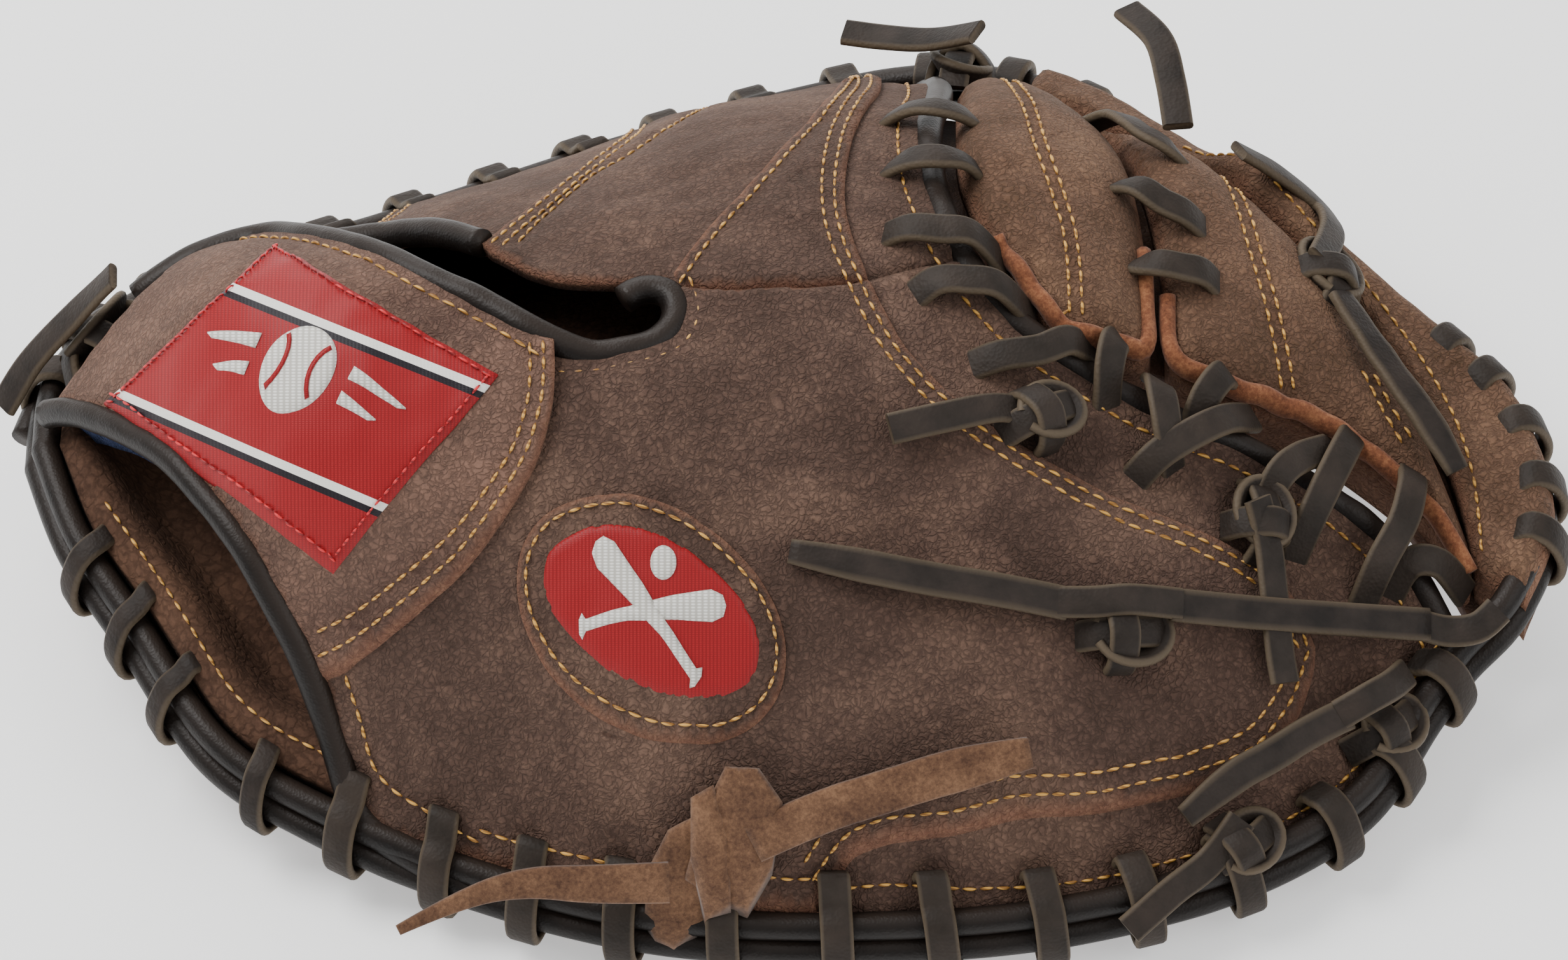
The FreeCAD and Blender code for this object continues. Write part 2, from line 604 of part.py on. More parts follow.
def strap_parts(parts):
    sides = [(STRAP_SLOT, EDGE_INSET), (STRAP_SEAM, JOIN), (STRAP_WRIST, EDGE_INSET),
             (STRAP_END, EDGE_INSET)]
    outline = prism(*[(reversed_side(points), inset) for points, inset in reversed(sides)])
    parts["wrist_strap"] = on_side(slab(strap(0.0), strap(BACK_LEATHER), PLAN).common(outline), "finger")
    inner = prism(*[(reversed_side(points), inset + FLEECE_BACK) for points, inset in reversed(sides)])
    lining = slab(strap(BACK_LEATHER + PLY_GAP), strap(BACK_LEATHER + PLY_GAP + FLEECE), PLAN)
    parts["strap_fleece"] = on_side(lining.common(inner), "finger")
    corners = reversed_side(LABEL)
    label = prism(*[([a, b], 0) for a, b in zip(corners, corners[1:] + corners[:1])])
    patch = slab(strap(-PATCH_THICKNESS - 0.1), strap(-0.1), PLAN)
    parts["strap_label"] = on_side(patch.common(label), "finger")


def patch_parts(parts):
    outer = prism((ellipse_side(-OVAL_RING_WIDTH), 0))
    inner = prism((ellipse_side(0.0), 0))
    patch_edge = prism((ellipse_side(0.3), 0))
    layer = slab(back(-PATCH_THICKNESS - 0.1), back(-0.1), PLAN)
    ring_layer = slab(back(-PATCH_THICKNESS * 1.6), back(-0.1), PLAN)
    parts["oval_patch"] = biggest(layer.common(patch_edge))
    parts["oval_patch_ring"] = biggest(ring_layer.common(outer.cut(inner)))


def web_parts(parts):
    tube_layer = slab(back(0.0), back(TUBE_THICKNESS), PLAN)
    floor_layer = slab(back(TUBE_THICKNESS + PLY_GAP), back(TUBE_THICKNESS + PLY_GAP + WEB_LEATHER), PLAN)
    rim_layer = slab(back(0.0), back(WEB_LEATHER), PLAN)
    floor = prism((reversed_side(WEB_EDGE), 1.0), (WEB_RIM, RIM_INSET))
    rim = prism((WEB_RIM[1:8], RIM_INSET), ([WEB_RIM[7], TUBE_B[2][0]], 0), (TUBE_B[2], JOIN),
                ([TUBE_B[2][-1], WEB_RIM[1]], 0))
    shapes = {"web_tube_a": tube_layer.common(prism(*[(side, JOIN) for side in TUBE_A])),
              "web_tube_b": tube_layer.common(prism(*[(side, JOIN) for side in reverse_loop(TUBE_B)])),
              "web_palm_panel": floor_layer.common(floor),
              "web_rim_panel": rim_layer.common(rim)}
    for name, whole in shapes.items():
        for side in ROOM:
            parts[name + "_" + side] = on_side(whole, side)


def reverse_loop(sides):
    return [reversed_side(side) for side in reversed(sides)]


def fold_gap_at(point):
    """Room to leave along a rolled edge on each side of the fold, at the height of that edge."""
    drop = (point - fold_a).dot(fold_up)
    angle = FOLD_OPEN / 2 if drop > 0 else FOLD_CLOSE / 2
    return HINGE_GAP / 2 + abs(drop) * math.tan(math.radians(angle))


def halves(points):
    """Cuts a run of space points where it crosses the fold, and takes both ends back from it."""
    across = [(point - fold_a).dot(fold_side) for point in points]
    last = next(k for k in range(len(points) - 1) if across[k] * across[k + 1] < 0)
    run = points[last + 1] - points[last]
    middle = points[last] + run * (across[last] / (across[last] - across[last + 1]))
    gap = fold_gap_at(middle) + END_GAP
    back_off = run.normalize() * gap
    before = [p for p in points[:last + 1] if (p - middle).Length > gap + ROLL_DIAMETER]
    after = [p for p in points[last + 1:] if (p - middle).Length > gap + ROLL_DIAMETER]
    pieces = [before + [middle - back_off], [middle + back_off] + after]
    names = ("finger", "thumb") if across[last] > 0 else ("thumb", "finger")
    return dict(zip(names, pieces))


def binding_parts(parts):
    lift = -BINDING
    on_strap = lifted(reversed_side(STRAP_WRIST)[:-1], strap(0), lift)
    wrist = halves(on_strap + lifted(WRIST_THUMB[1:-1], back(0), lift))
    parts["binding_wrist_finger"] = tube(wrist["finger"], BINDING_DIAMETER)
    parts["binding_wrist_thumb"] = tube(wrist["thumb"], BINDING_DIAMETER)
    turn = lifted(STRAP_SLOT[:-1], strap(0), lift) + lifted(SLOT_TURN[1:], back(0), lift)
    parts["binding_slot_strap"] = tube(turn, BINDING_DIAMETER)
    parts["binding_slot_finger"] = tube(lifted(SLOT_FINGER[3:8], back(0), lift), BINDING_DIAMETER)
    web = halves(lifted(WEB_EDGE[1:-1], back(0), lift))
    parts["binding_web_thumb"] = tube(web["thumb"], BINDING_DIAMETER)
    parts["binding_web_finger"] = tube(web["finger"], BINDING_DIAMETER)


def roll_parts(parts):
    heel_and_thumb = HEEL_RIM[:-1] + THUMB_RIM
    for name, (across, up) in ROLLS.items():
        path = halves(rim_points(heel_and_thumb, across, up))
        parts[name + "_thumb"] = tube(path["thumb"], ROLL_DIAMETER)
        finger = rim_points(FINGER_RIM[:-1], across, up) + path["finger"]
        parts[name + "_finger"] = tube(finger, ROLL_DIAMETER)


def rim_points(points, across, up):
    path = []
    for x, y, z in scaled(points):
        share = 1 - across / math.hypot(x, y)
        path.append(Vector(x * share, y * share, z + up))
    return path


def lace_parts(parts):
    thumb_run = HEEL_RIM[4:] + THUMB_RIM[1:-1]
    parts["rim_lace_thumb"] = Part.makeCompound(rim_hoops(thumb_run, 6.0))
    parts["web_rim_lace_thumb"] = Part.makeCompound(rim_hoops(WEB_RIM[1:5], 6.0))
    parts["web_rim_lace_finger"] = Part.makeCompound(rim_hoops(WEB_RIM[5:], 8.0))
    parts["rim_lace_heel"] = Part.makeCompound(rim_hoops(HEEL_RIM[:4], 6.0))
    parts["rim_lace_finger"] = Part.makeCompound(rim_hoops(FINGER_RIM[:-1], 8.0))
    crotch = edge_hoops(WEB_EDGE[8:13], back(0), BINDING + PLY_GAP, 5, 150)
    parts["crotch_lace"] = Part.makeCompound(crotch)
    foot = edge_hoops(WEB_EDGE[1:6], back(0), BINDING + PLY_GAP, 6, 150)
    parts["web_foot_lace"] = Part.makeCompound(foot)
    knots = {"lace_knots_thumb": KNOTS_THUMB, "lace_knots_finger": KNOTS_FINGER}
    for name, places in knots.items():
        parts[name] = Part.makeCompound([knot(place, PLY_GAP + KNOT_LIFT) for place in places.values()])
    parts["thong_knot"] = knot(THONG_KNOT, PLY_GAP + KNOT_LIFT)


def loop_parts(parts):
    """The thumb loop and the little-finger loop, which stand on the liner inside the hand space."""
    for name, place in LOOPS.items():
        (x, y), = scaled([place])
        centre = Vector(x, y, liner_top(x, y) + LOOP_LIFT)
        parts[name] = lace_hoop(centre, LOOP_ALONG, Vector(0, 0, 1), LOOP_RADIUS, -80, 160)


def tail_parts(parts):
    tails = {"tail_taut_lace": TAIL_TAUT, "tail_thong_right": TAIL_THONG_RIGHT,
             "tail_thong_left": TAIL_THONG_LEFT, "tail_web_top": TAIL_WEB_TOP, "tail_thumb_tip": TAIL_TIP}
    for name, points in tails.items():
        parts[name] = cord(points)
    parts["taut_lace"] = tube([Vector(*point) for point in scaled(TAUT_LACE)], LACE_WIDTH / 2)


def main():
    parts = {}
    for make in (palm_parts, back_parts, strap_parts, patch_parts, web_parts, binding_parts, roll_parts,
                 lace_parts, loop_parts, tail_parts):
        make(parts)
    os.makedirs("parts", exist_ok=True)
    for name, shape in parts.items():
        print(name, "valid", shape.isValid(), "solids", len(shape.Solids))
        shape.exportStep("parts/" + name + ".step")


main()
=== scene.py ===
"""A baseball catcher's mitt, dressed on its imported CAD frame. Metres; plan tables are in millimetres."""
import json
import logging
import math
from dataclasses import dataclass, field
from enum import Enum
from typing import Callable, Iterable, Optional, Sequence

import bpy
import numpy as np
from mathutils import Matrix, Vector
from mathutils.geometry import delaunay_2d_cdt

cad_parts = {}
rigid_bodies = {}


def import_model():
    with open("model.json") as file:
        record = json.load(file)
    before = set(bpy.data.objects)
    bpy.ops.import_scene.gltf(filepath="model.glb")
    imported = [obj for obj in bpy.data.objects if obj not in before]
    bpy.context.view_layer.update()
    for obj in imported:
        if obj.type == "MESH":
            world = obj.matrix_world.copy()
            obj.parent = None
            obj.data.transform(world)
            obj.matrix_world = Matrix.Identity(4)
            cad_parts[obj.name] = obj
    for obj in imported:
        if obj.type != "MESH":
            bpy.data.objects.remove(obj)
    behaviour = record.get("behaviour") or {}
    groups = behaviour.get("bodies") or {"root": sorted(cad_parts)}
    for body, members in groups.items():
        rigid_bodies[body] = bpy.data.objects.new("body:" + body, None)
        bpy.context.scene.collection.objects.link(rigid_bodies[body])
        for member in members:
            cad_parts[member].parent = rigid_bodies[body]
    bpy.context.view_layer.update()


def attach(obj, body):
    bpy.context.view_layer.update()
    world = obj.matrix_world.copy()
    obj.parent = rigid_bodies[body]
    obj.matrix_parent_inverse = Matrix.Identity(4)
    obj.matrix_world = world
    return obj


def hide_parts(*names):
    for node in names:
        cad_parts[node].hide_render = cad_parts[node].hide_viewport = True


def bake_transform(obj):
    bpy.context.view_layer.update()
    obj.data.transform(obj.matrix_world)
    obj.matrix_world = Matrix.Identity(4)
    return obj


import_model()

log = logging.getLogger("mitt")
MM = 0.001
Array = np.ndarray
Height = Callable[[Array, Array], Array]

# The rim, counter-clockwise from the middle of the heel: x, y, height of its rolled edge.
HEEL_RIM = [(-138, 54, 34), (-138, 33, 31), (-133, 11, 26), (-126, -18, 20), (-110, -39, 16),
            (-88, -60, 13)]
THUMB_RIM = [(-88, -60, 13), (-60, -80, 11), (-27, -95, 11), (12, -106, 11), (50, -109, 12),
             (80, -103, 14), (101, -88, 19), (111, -81, 22)]
WEB_RIM = [(111, -81, 22), (124, -75, 27), (136, -60, 30), (140, -34, 32), (132, -12, 34),
           (121, 13, 35), (110, 39, 33), (98, 63, 30), (84, 87, 24), (65, 103, 17)]
FINGER_RIM = [(65, 103, 17), (40, 109, 13), (6, 109, 13), (-34, 105, 15), (-72, 100, 19),
              (-106, 92, 26), (-128, 75, 31), (-138, 54, 34)]
RIM = HEEL_RIM[:-1] + THUMB_RIM[:-1] + WEB_RIM[:-1] + FINGER_RIM[:-1]

# Heights of the back over the hand, of the palm face, and the palm pad's thickness.
CROWN = [(-102, 1, 76), (-106, 36, 80), (-102, 66, 62), (-72, 6, 87), (-32, 6, 91), (8, 9, 90),
         (40, 11, 84), (78, 1, 68), (110, 6, 52), (-77, -39, 50), (-37, -54, 62), (3, -54, 66),
         (43, -54, 62), (78, -54, 50), (-77, 56, 71), (-37, 61, 69), (-2, 64, 69), (38, 66, 64),
         (78, 56, 54), (-12, -84, 38), (38, -86, 38), (73, -82, 34), (-47, -70, 38), (-2, 93, 39),
         (38, 92, 38), (-52, 86, 44), (108, -44, 42), (110, 36, 44)]
PALM = [(-114, -9, 8), (-120, 18, 12), (-120, 48, 16), (-106, 72, 14), (-97, -30, 6), (-62, -64, 1),
        (-22, -78, 0), (18, -87, 0), (53, -88, 2), (83, -76, 8), (-77, 82, 6), (-42, 88, 1),
        (-2, 92, 0), (38, 90, 3), (62, 86, 11), (-82, 16, 24), (-82, 51, 18), (-82, -16, 18),
        (-42, 11, 40), (-42, 51, 26), (-42, -32, 26), (-2, 6, 52), (-2, 51, 34), (-2, -39, 32),
        (38, 1, 66), (43, 41, 50), (38, -39, 42), (78, 1, 57), (106, -24, 38), (98, 36, 44),
        (110, -56, 24), (70, -64, 26)]
PAD = [(-114, -9, 9), (-120, 18, 9), (-120, 48, 9), (-97, -30, 12), (-62, -62, 17), (-22, -74, 20),
       (18, -82, 20), (53, -82, 15), (83, -70, 9), (-77, 78, 13), (-42, 82, 18), (-2, 86, 20),
       (38, 84, 15), (62, 82, 9), (-82, 16, 10), (-42, 11, 8), (-2, 6, 7), (-42, 51, 12),
       (-42, -32, 12), (-2, 51, 12), (-2, -39, 12), (38, 1, 4), (43, 41, 6), (38, -39, 8),
       (-82, 51, 10), (-82, -16, 10), (78, 1, 3), (106, -24, 3), (98, 36, 3)]

# Edges and seams in plan.
WEB_EDGE = [(111, -81), (106, -62), (96, -49), (82, -40), (67, -33), (53, -24), (42, -12), (37, 2),
            (37, 16), (40, 30), (46, 46), (54, 62), (61, 82), (65, 103)]
OVERLAY_CROTCH = [(81, -76), (78, -65), (64, -56), (46, -47), (28, -33), (18, -17), (16, 0)]
OVERLAY_FINGER = [(16, 0), (18, 18), (28, 41), (44, 68), (56, 106)]
OVERLAY_TIP = [(-29, -95), (-27, -90), (-20, -88), (-11, -89), (1, -91), (14, -92), (27, -94),
               (40, -95), (50, -95), (63, -93), (73, -87), (79, -80), (81, -76)]
STRAP_SEAM = [(-48, 1), (-50, -5), (-53, -11), (-59, -18), (-67, -23), (-75, -26), (-83, -27),
              (-91, -27), (-99, -26), (-106, -24)]
STRAP_SLOT = [(-88, 66), (-80, 53), (-73, 38), (-66, 25), (-58, 15), (-48, 1)]
STRAP_WRIST = [(-106, -24), (-110, -12), (-117, 14), (-121, 27), (-129, 47), (-134, 58)]
STRAP_END = [(-134, 58), (-112, 64), (-88, 66)]
SLOT_TURN = [(-48, 1), (-40, -2), (-29, -3), (-23, 1), (-22, 9)]
SLOT_FINGER = [(-22, 9), (-40, 18), (-47, 28), (-50, 38), (-59, 54), (-72, 64), (-94, 70), (-112, 73),
               (-128, 75)]
SEAM_JOIN = [(-22, 9), (-10, 3), (4, 0), (16, 0)]
SEAM_INDEX = [(-22, 9), (-10, 20), (2, 30), (14, 42), (28, 59), (40, 80), (48, 107)]
SEAM_RING = [(-50, 38), (-35, 50), (-20, 64), (-8, 78), (4, 109)]
SEAM_PINKY = [(-72, 64), (-62, 74), (-54, 86), (-48, 103)]
SEAM_MIDDLE = [(-44, 34), (-33, 44), (-20, 55), (-8, 63), (6, 76), (18, 92), (24, 107)]
WRIST_THUMB = [(-106, -24), (-105, -32), (-104, -40), (-99, -48), (-88, -60)]
TUBE_A = [(62, 72), (52, 47), (45, 26), (44, 6), (48, -10), (52, -17), (60, -19), (67, -20), (71, -10),
          (75, 2), (79, 18), (82, 34), (82, 52), (78, 70)]
TUBE_B = [(84, 60), (86, 48), (84, 32), (81, 16), (78, 2), (75, -8), (71, -22), (80, -28), (90, -31),
          (100, -36), (108, -44), (114, -54), (117, -66), (120, -60), (120, -44), (119, -26), (114, 0),
          (104, 26), (96, 44)]
LABEL_SIDES = [[(-60.5, -2.2), (-70.8, -7.5), (-80.8, -11.7), (-90.3, -14.5), (-99.4, -16)],
               [(-99.4, -16), (-107.4, -5.2), (-114.3, 9.2), (-120.8, 25.7), (-126.4, 44.3)],
               [(-126.4, 44.3), (-118.5, 41), (-110.1, 38.4), (-100.8, 39.1), (-89, 48.3)],
               [(-89, 48.3), (-83.8, 29.2), (-76.4, 17.4), (-68.5, 7.7), (-60.5, -2.2)]]
LABEL_LINES = [((-111.8, 59.4), (-58.0, 37.9)), ((-133.1, 38.4), (-77.9, 15.2))]
LABEL_RUN = ((-103, 44), (-63, -4))
THREAD_RIGHT = (0.9397, -0.3420, 0.0)
THREAD_UP = (0.2620, 0.7198, 0.6428)
OVAL_CENTRE = (-45.5, -47.0)
OVAL_TURN = -42.0
THONG_KNOT = (-46.0, -81.0)

# The fold: the thumb side turns about this line.
FOLD_HEEL = (-100.0, -31.0, 39.0)
FOLD_CROTCH = (40.0, 1.0, 53.0)
FOLD_SPREAD = 9.0

# Free ends: the same points as in the CAD source, in millimetres.
TAIL_TAUT = [(32, -68, 58), (21, -65, 63), (8, -60, 66), (-5, -56, 71), (-18, -49, 73)]
TAIL_THONG_RIGHT = [(-38, -83, 32), (-25, -84, 37), (-12, -86, 40), (2, -87, 42), (17, -88, 42)]
TAIL_THONG_LEFT = [(-55, -83, 27), (-68, -79, 27), (-81, -74, 28), (-94, -73, 27), (-107, -74, 24)]
TAIL_WEB_TOP = [(111, -11, 56), (113, -22, 54), (115, -32, 52), (118, -43, 49), (120, -52, 44)]
TAIL_TIP = [(82, -91, 30), (74, -93, 31), (64, -96, 30), (55, -98, 30), (44, -102, 27)]
TAUT_LACE = [(52, -72, 54), (70, -74, 46), (88, -76, 39), (104, -78, 33)]


# ---------------------------------------------------------------- colours and materials

def srgb(value: str) -> tuple[float, float, float, float]:
    """Turns an sRGB hex colour to linear RGBA.

    Args:
        value: Six hex digits after a hash sign.

    Returns:
        Linear red, green, blue and an alpha of one.
    """
    parts = [int(value[k:k + 2], 16) / 255 for k in (1, 3, 5)]
    return tuple(p / 12.92 if p <= 0.04045 else ((p + 0.055) / 1.055) ** 2.4 for p in parts) + (1.0,)


def add_node(tree: bpy.types.NodeTree, kind: str, settings: Optional[dict] = None,
             values: Optional[dict] = None, links: Optional[dict] = None) -> bpy.types.Node:
    """Adds one node with its settings, socket values and incoming links.

    Args:
        tree: The tree that the node goes into.
        kind: The node's type name.
        settings: Attributes to set on the node.
        values: Socket name or index to a fixed value.
        links: Socket name or index to the output socket that feeds it.

    Returns:
        The new node.
    """
    node = tree.nodes.new(kind)
    for name, value in (settings or {}).items():
        setattr(node, name, value)
    for name, value in (values or {}).items():
        node.inputs[name].default_value = value
    for name, socket in (links or {}).items():
        tree.links.new(socket, node.inputs[name])
    return node


class Place(Enum):
    """Where a material's pattern reads its position."""

    OBJECT = "Object"
    UV = "UV"


@dataclass(frozen=True)
class Finish:
    """What every finish shares: a name, a roughness and the shader that they feed."""

    name: str
    roughness: float = 0.8
    specular: float = 0.5
    sheen: float = 0.0
    sheen_tint: str = "#ffffff"

    def start(self, place: Place = Place.OBJECT) -> tuple[bpy.types.Material, bpy.types.NodeTree,
                                                          bpy.types.Node, bpy.types.NodeSocket]:
        """Makes the material with its shader and its pattern position."""
        made = bpy.data.materials.new(self.name)
        made.use_nodes = True
        tree = made.node_tree
        shader = tree.nodes["Principled BSDF"]
        shader.inputs["Roughness"].default_value = self.roughness
        shader.inputs["Specular IOR Level"].default_value = self.specular
        shader.inputs["Sheen Weight"].default_value = self.sheen
        shader.inputs["Sheen Tint"].default_value = srgb(self.sheen_tint)
        where = add_node(tree, "ShaderNodeTexCoord")
        return made, tree, shader, where.outputs[place.value]


def ramp_of(tree: bpy.types.NodeTree, source: bpy.types.NodeSocket,
            stops: Sequence[tuple[float, str]]) -> bpy.types.NodeSocket:
    """A colour ramp through hex colours.

    Args:
        tree: The material's tree.
        source: The value that picks the colour.
        stops: Position and hex colour of each stop.

    Returns:
        The ramp's colour socket.
    """
    node = add_node(tree, "ShaderNodeValToRGB", links={"Fac": source})
    bar = node.color_ramp
    while len(bar.elements) < len(stops):
        bar.elements.new(0.5)
    for element, (position, colour) in zip(bar.elements, stops):
        element.position = position
        element.color = srgb(colour)
    return node.outputs["Color"]


@dataclass(frozen=True)
class Hide(Finish):
    """Oiled pebble-grained cowhide with a nubuck nap: matt, mottled brown, lighter where it is rubbed."""

    dark: str = "#392921"
    middle: str = "#503c33"
    light: str = "#705749"
    raw: str = "#7f5440"
    pebble_mm: float = 1.35
    depth_mm: float = 0.32

    def build(self) -> bpy.types.Material:
        """Builds the hide: mottled colour, pebble grain with painted shade in its valleys, long creases with
        painted shade along them, and a raw suede cut edge.
        """
        made, tree, shader, at = self.start()
        cloud = add_node(tree, "ShaderNodeTexNoise",
                         values={"Scale": 1 / 0.034, "Detail": 5.0, "Roughness": 0.6,
                                                             "Distortion": 0.6}, links={"Vector": at})
        speck = add_node(tree, "ShaderNodeTexNoise",
                         values={"Scale": 1 / 0.0015, "Detail": 4.0, "Roughness": 0.68},
                         links={"Vector": at})
        warp = add_node(tree, "ShaderNodeTexNoise", values={"Scale": 1 / 0.003, "Detail": 3.0},
                        links={"Vector": at})
        bend = add_node(tree, "ShaderNodeMix", {"data_type": "VECTOR"}, {0: 0.0042},
                        {4: at, 5: warp.outputs["Color"]})
        grain = add_node(tree, "ShaderNodeTexVoronoi", {"feature": "DISTANCE_TO_EDGE"},
                         {"Scale": 1000 / self.pebble_mm, "Randomness": 1.0}, {"Vector": bend.outputs[1]})
        valley = add_node(tree, "ShaderNodeMapRange", {"interpolation_type": "SMOOTHSTEP"},
                          {"From Min": 0.0, "From Max": 0.24, "To Min": 0.0, "To Max": 1.0},
                          {"Value": grain.outputs["Distance"]})
        stretch = add_node(tree, "ShaderNodeMapping",
                           values={"Scale": (1.0, 2.6, 2.6), "Rotation": (0.2, 0.1, 0.7)},
                           links={"Vector": at})
        crease = add_node(tree, "ShaderNodeTexNoise",
                          {"noise_type": "RIDGED_MULTIFRACTAL", "normalize": True},
                          {"Scale": 1 / 0.012, "Detail": 5.0, "Roughness": 0.6, "Distortion": 0.9},
                          {"Vector": stretch.outputs["Vector"]})
        fold = add_node(tree, "ShaderNodeMapRange", {"interpolation_type": "SMOOTHSTEP"},
                        {"From Min": 0.42, "From Max": 0.75, "To Min": 0.0, "To Max": 1.0},
                        {"Value": crease.outputs["Fac"]})
        tone = add_node(tree, "ShaderNodeMath", {"operation": "MULTIPLY_ADD"}, {1: 0.62, 2: 0.02},
                        {0: cloud.outputs["Fac"]})
        tone2 = add_node(tree, "ShaderNodeMath", {"operation": "MULTIPLY_ADD"}, {1: 0.42},
                         {0: speck.outputs["Fac"], 2: tone.outputs[0]})
        colour = ramp_of(tree, tone2.outputs[0],
                         [(0.36, self.dark), (0.52, self.middle), (0.70, self.light)])
        # Painted shade: the colour is darkened in the valleys between the pebbles.
        grain_painted_shade = add_node(tree, "ShaderNodeMix", {"data_type": "RGBA", "blend_type": "MULTIPLY"},
                        {0: 1.0}, {6: colour})
        valley_painted_shade = add_node(tree, "ShaderNodeMapRange", values={"To Min": 0.74, "To Max": 1.05},
                            links={"Value": valley.outputs[0]})
        tree.links.new(valley_painted_shade.outputs[0], grain_painted_shade.inputs[7])
        # Painted shade: the colour is darkened along the long creases.
        crease_painted_shade = add_node(tree, "ShaderNodeMix", {"data_type": "RGBA", "blend_type": "MULTIPLY"},
                           {7: srgb("#8a6a5c")},
                           {6: grain_painted_shade.outputs[2]})
        share = add_node(tree, "ShaderNodeMath", {"operation": "MULTIPLY"}, {1: 0.55}, {0: fold.outputs[0]})
        tree.links.new(share.outputs[0], crease_painted_shade.inputs[0])
        wear = add_node(tree, "ShaderNodeAttribute", {"attribute_name": "wear"})
        fuzz = add_node(tree, "ShaderNodeTexNoise",
                        values={"Scale": 1 / 0.0012, "Detail": 4.0, "Roughness": 0.7},
                        links={"Vector": at})
        suede = ramp_of(tree, fuzz.outputs["Fac"], [(0.3, "#5f3a29"), (0.5, self.raw), (0.72, "#a07458")])
        worn = add_node(tree, "ShaderNodeMix", {"data_type": "RGBA"}, links={0: wear.outputs["Fac"],
                                                                            6: crease_painted_shade.outputs[2], 7: suede})
        tree.links.new(worn.outputs[2], shader.inputs["Base Color"])
        relief = add_node(tree, "ShaderNodeMath", {"operation": "MULTIPLY_ADD"}, {1: -1.3},
                          {0: fold.outputs[0], 2: valley.outputs[0]})
        fine = add_node(tree, "ShaderNodeMath", {"operation": "MULTIPLY_ADD"}, {1: 1.3},
                        {0: speck.outputs["Fac"], 2: relief.outputs[0]})
        bump = add_node(tree, "ShaderNodeBump", values={"Strength": 0.75, "Distance": self.depth_mm * MM},
                        links={"Height": fine.outputs[0]})
        tree.links.new(bump.outputs["Normal"], shader.inputs["Normal"])
        return made


@dataclass(frozen=True)
class SmoothHide(Finish):
    """Thin drummed glove leather: fine even grain and a soft wax shine."""

    base: str = "#0f0b09"
    rubbed: str = "#1b1512"
    edge: str = "#2c241f"
    grain_mm: float = 0.55
    depth_mm: float = 0.08
    crease: float = 0.5

    def build(self) -> bpy.types.Material:
        """Builds the binding or lace leather: near even colour, fine grain and short cross creases."""
        made, tree, shader, at = self.start()
        cloud = add_node(tree, "ShaderNodeTexNoise",
                         values={"Scale": 1 / 0.009, "Detail": 4.0, "Roughness": 0.6},
                         links={"Vector": at})
        colour = ramp_of(tree, cloud.outputs["Fac"], [(0.32, self.base), (0.68, self.rubbed)])
        wear = add_node(tree, "ShaderNodeAttribute", {"attribute_name": "wear"})
        worn = add_node(tree, "ShaderNodeMix", {"data_type": "RGBA"}, {7: srgb(self.edge)},
                        {0: wear.outputs["Fac"], 6: colour})
        tree.links.new(worn.outputs[2], shader.inputs["Base Color"])
        grain = add_node(tree, "ShaderNodeTexVoronoi", {"feature": "F1"},
                         {"Scale": 1000 / self.grain_mm}, {"Vector": at})
        cross = add_node(tree, "ShaderNodeTexNoise",
                         values={"Scale": 1 / 0.0035, "Detail": 3.0, "Distortion": 1.2},
                         links={"Vector": at})
        height = add_node(tree, "ShaderNodeMath", {"operation": "MULTIPLY_ADD"}, {1: self.crease * 3},
                          {0: cross.outputs["Fac"], 2: grain.outputs["Distance"]})
        bump = add_node(tree, "ShaderNodeBump", values={"Strength": 0.7, "Distance": self.depth_mm * MM},
                        links={"Height": height.outputs[0]})
        tree.links.new(bump.outputs["Normal"], shader.inputs["Normal"])
        return made


@dataclass(frozen=True)
class Suede(Finish):
    """Split suede: a matt fuzzy nap with pale and dark brush marks."""

    dark: str = "#5d3826"
    base: str = "#8a5a3f"
    light: str = "#a87a58"
    nap_mm: float = 0.9

    def build(self) -> bpy.types.Material:
        """Builds the suede: nap speckle, brushed patches and a deep soft bump."""
        made, tree, shader, at = self.start()
        patch = add_node(tree, "ShaderNodeTexNoise",
                         values={"Scale": 1 / 0.012, "Detail": 4.0, "Roughness": 0.65},
                         links={"Vector": at})
        nap = add_node(tree, "ShaderNodeTexNoise", values={"Scale": 1000 / self.nap_mm, "Detail": 4.0,
                                                           "Roughness": 0.75}, links={"Vector": at})
        mixed = add_node(tree, "ShaderNodeMath", {"operation": "MULTIPLY_ADD"}, {1: 0.5},
                         {0: nap.outputs["Fac"]})
        half = add_node(tree, "ShaderNodeMath", {"operation": "MULTIPLY"}, {1: 0.5},
                        {0: patch.outputs["Fac"]})
        tree.links.new(half.outputs[0], mixed.inputs[2])
        colour = ramp_of(tree, mixed.outputs[0], [(0.36, self.dark), (0.5, self.base), (0.64, self.light)])
        tree.links.new(colour, shader.inputs["Base Color"])
        bump = add_node(tree, "ShaderNodeBump", values={"Strength": 0.8, "Distance": 0.2 * MM},
                        links={"Height": mixed.outputs[0]})
        tree.links.new(bump.outputs["Normal"], shader.inputs["Normal"])
        return made


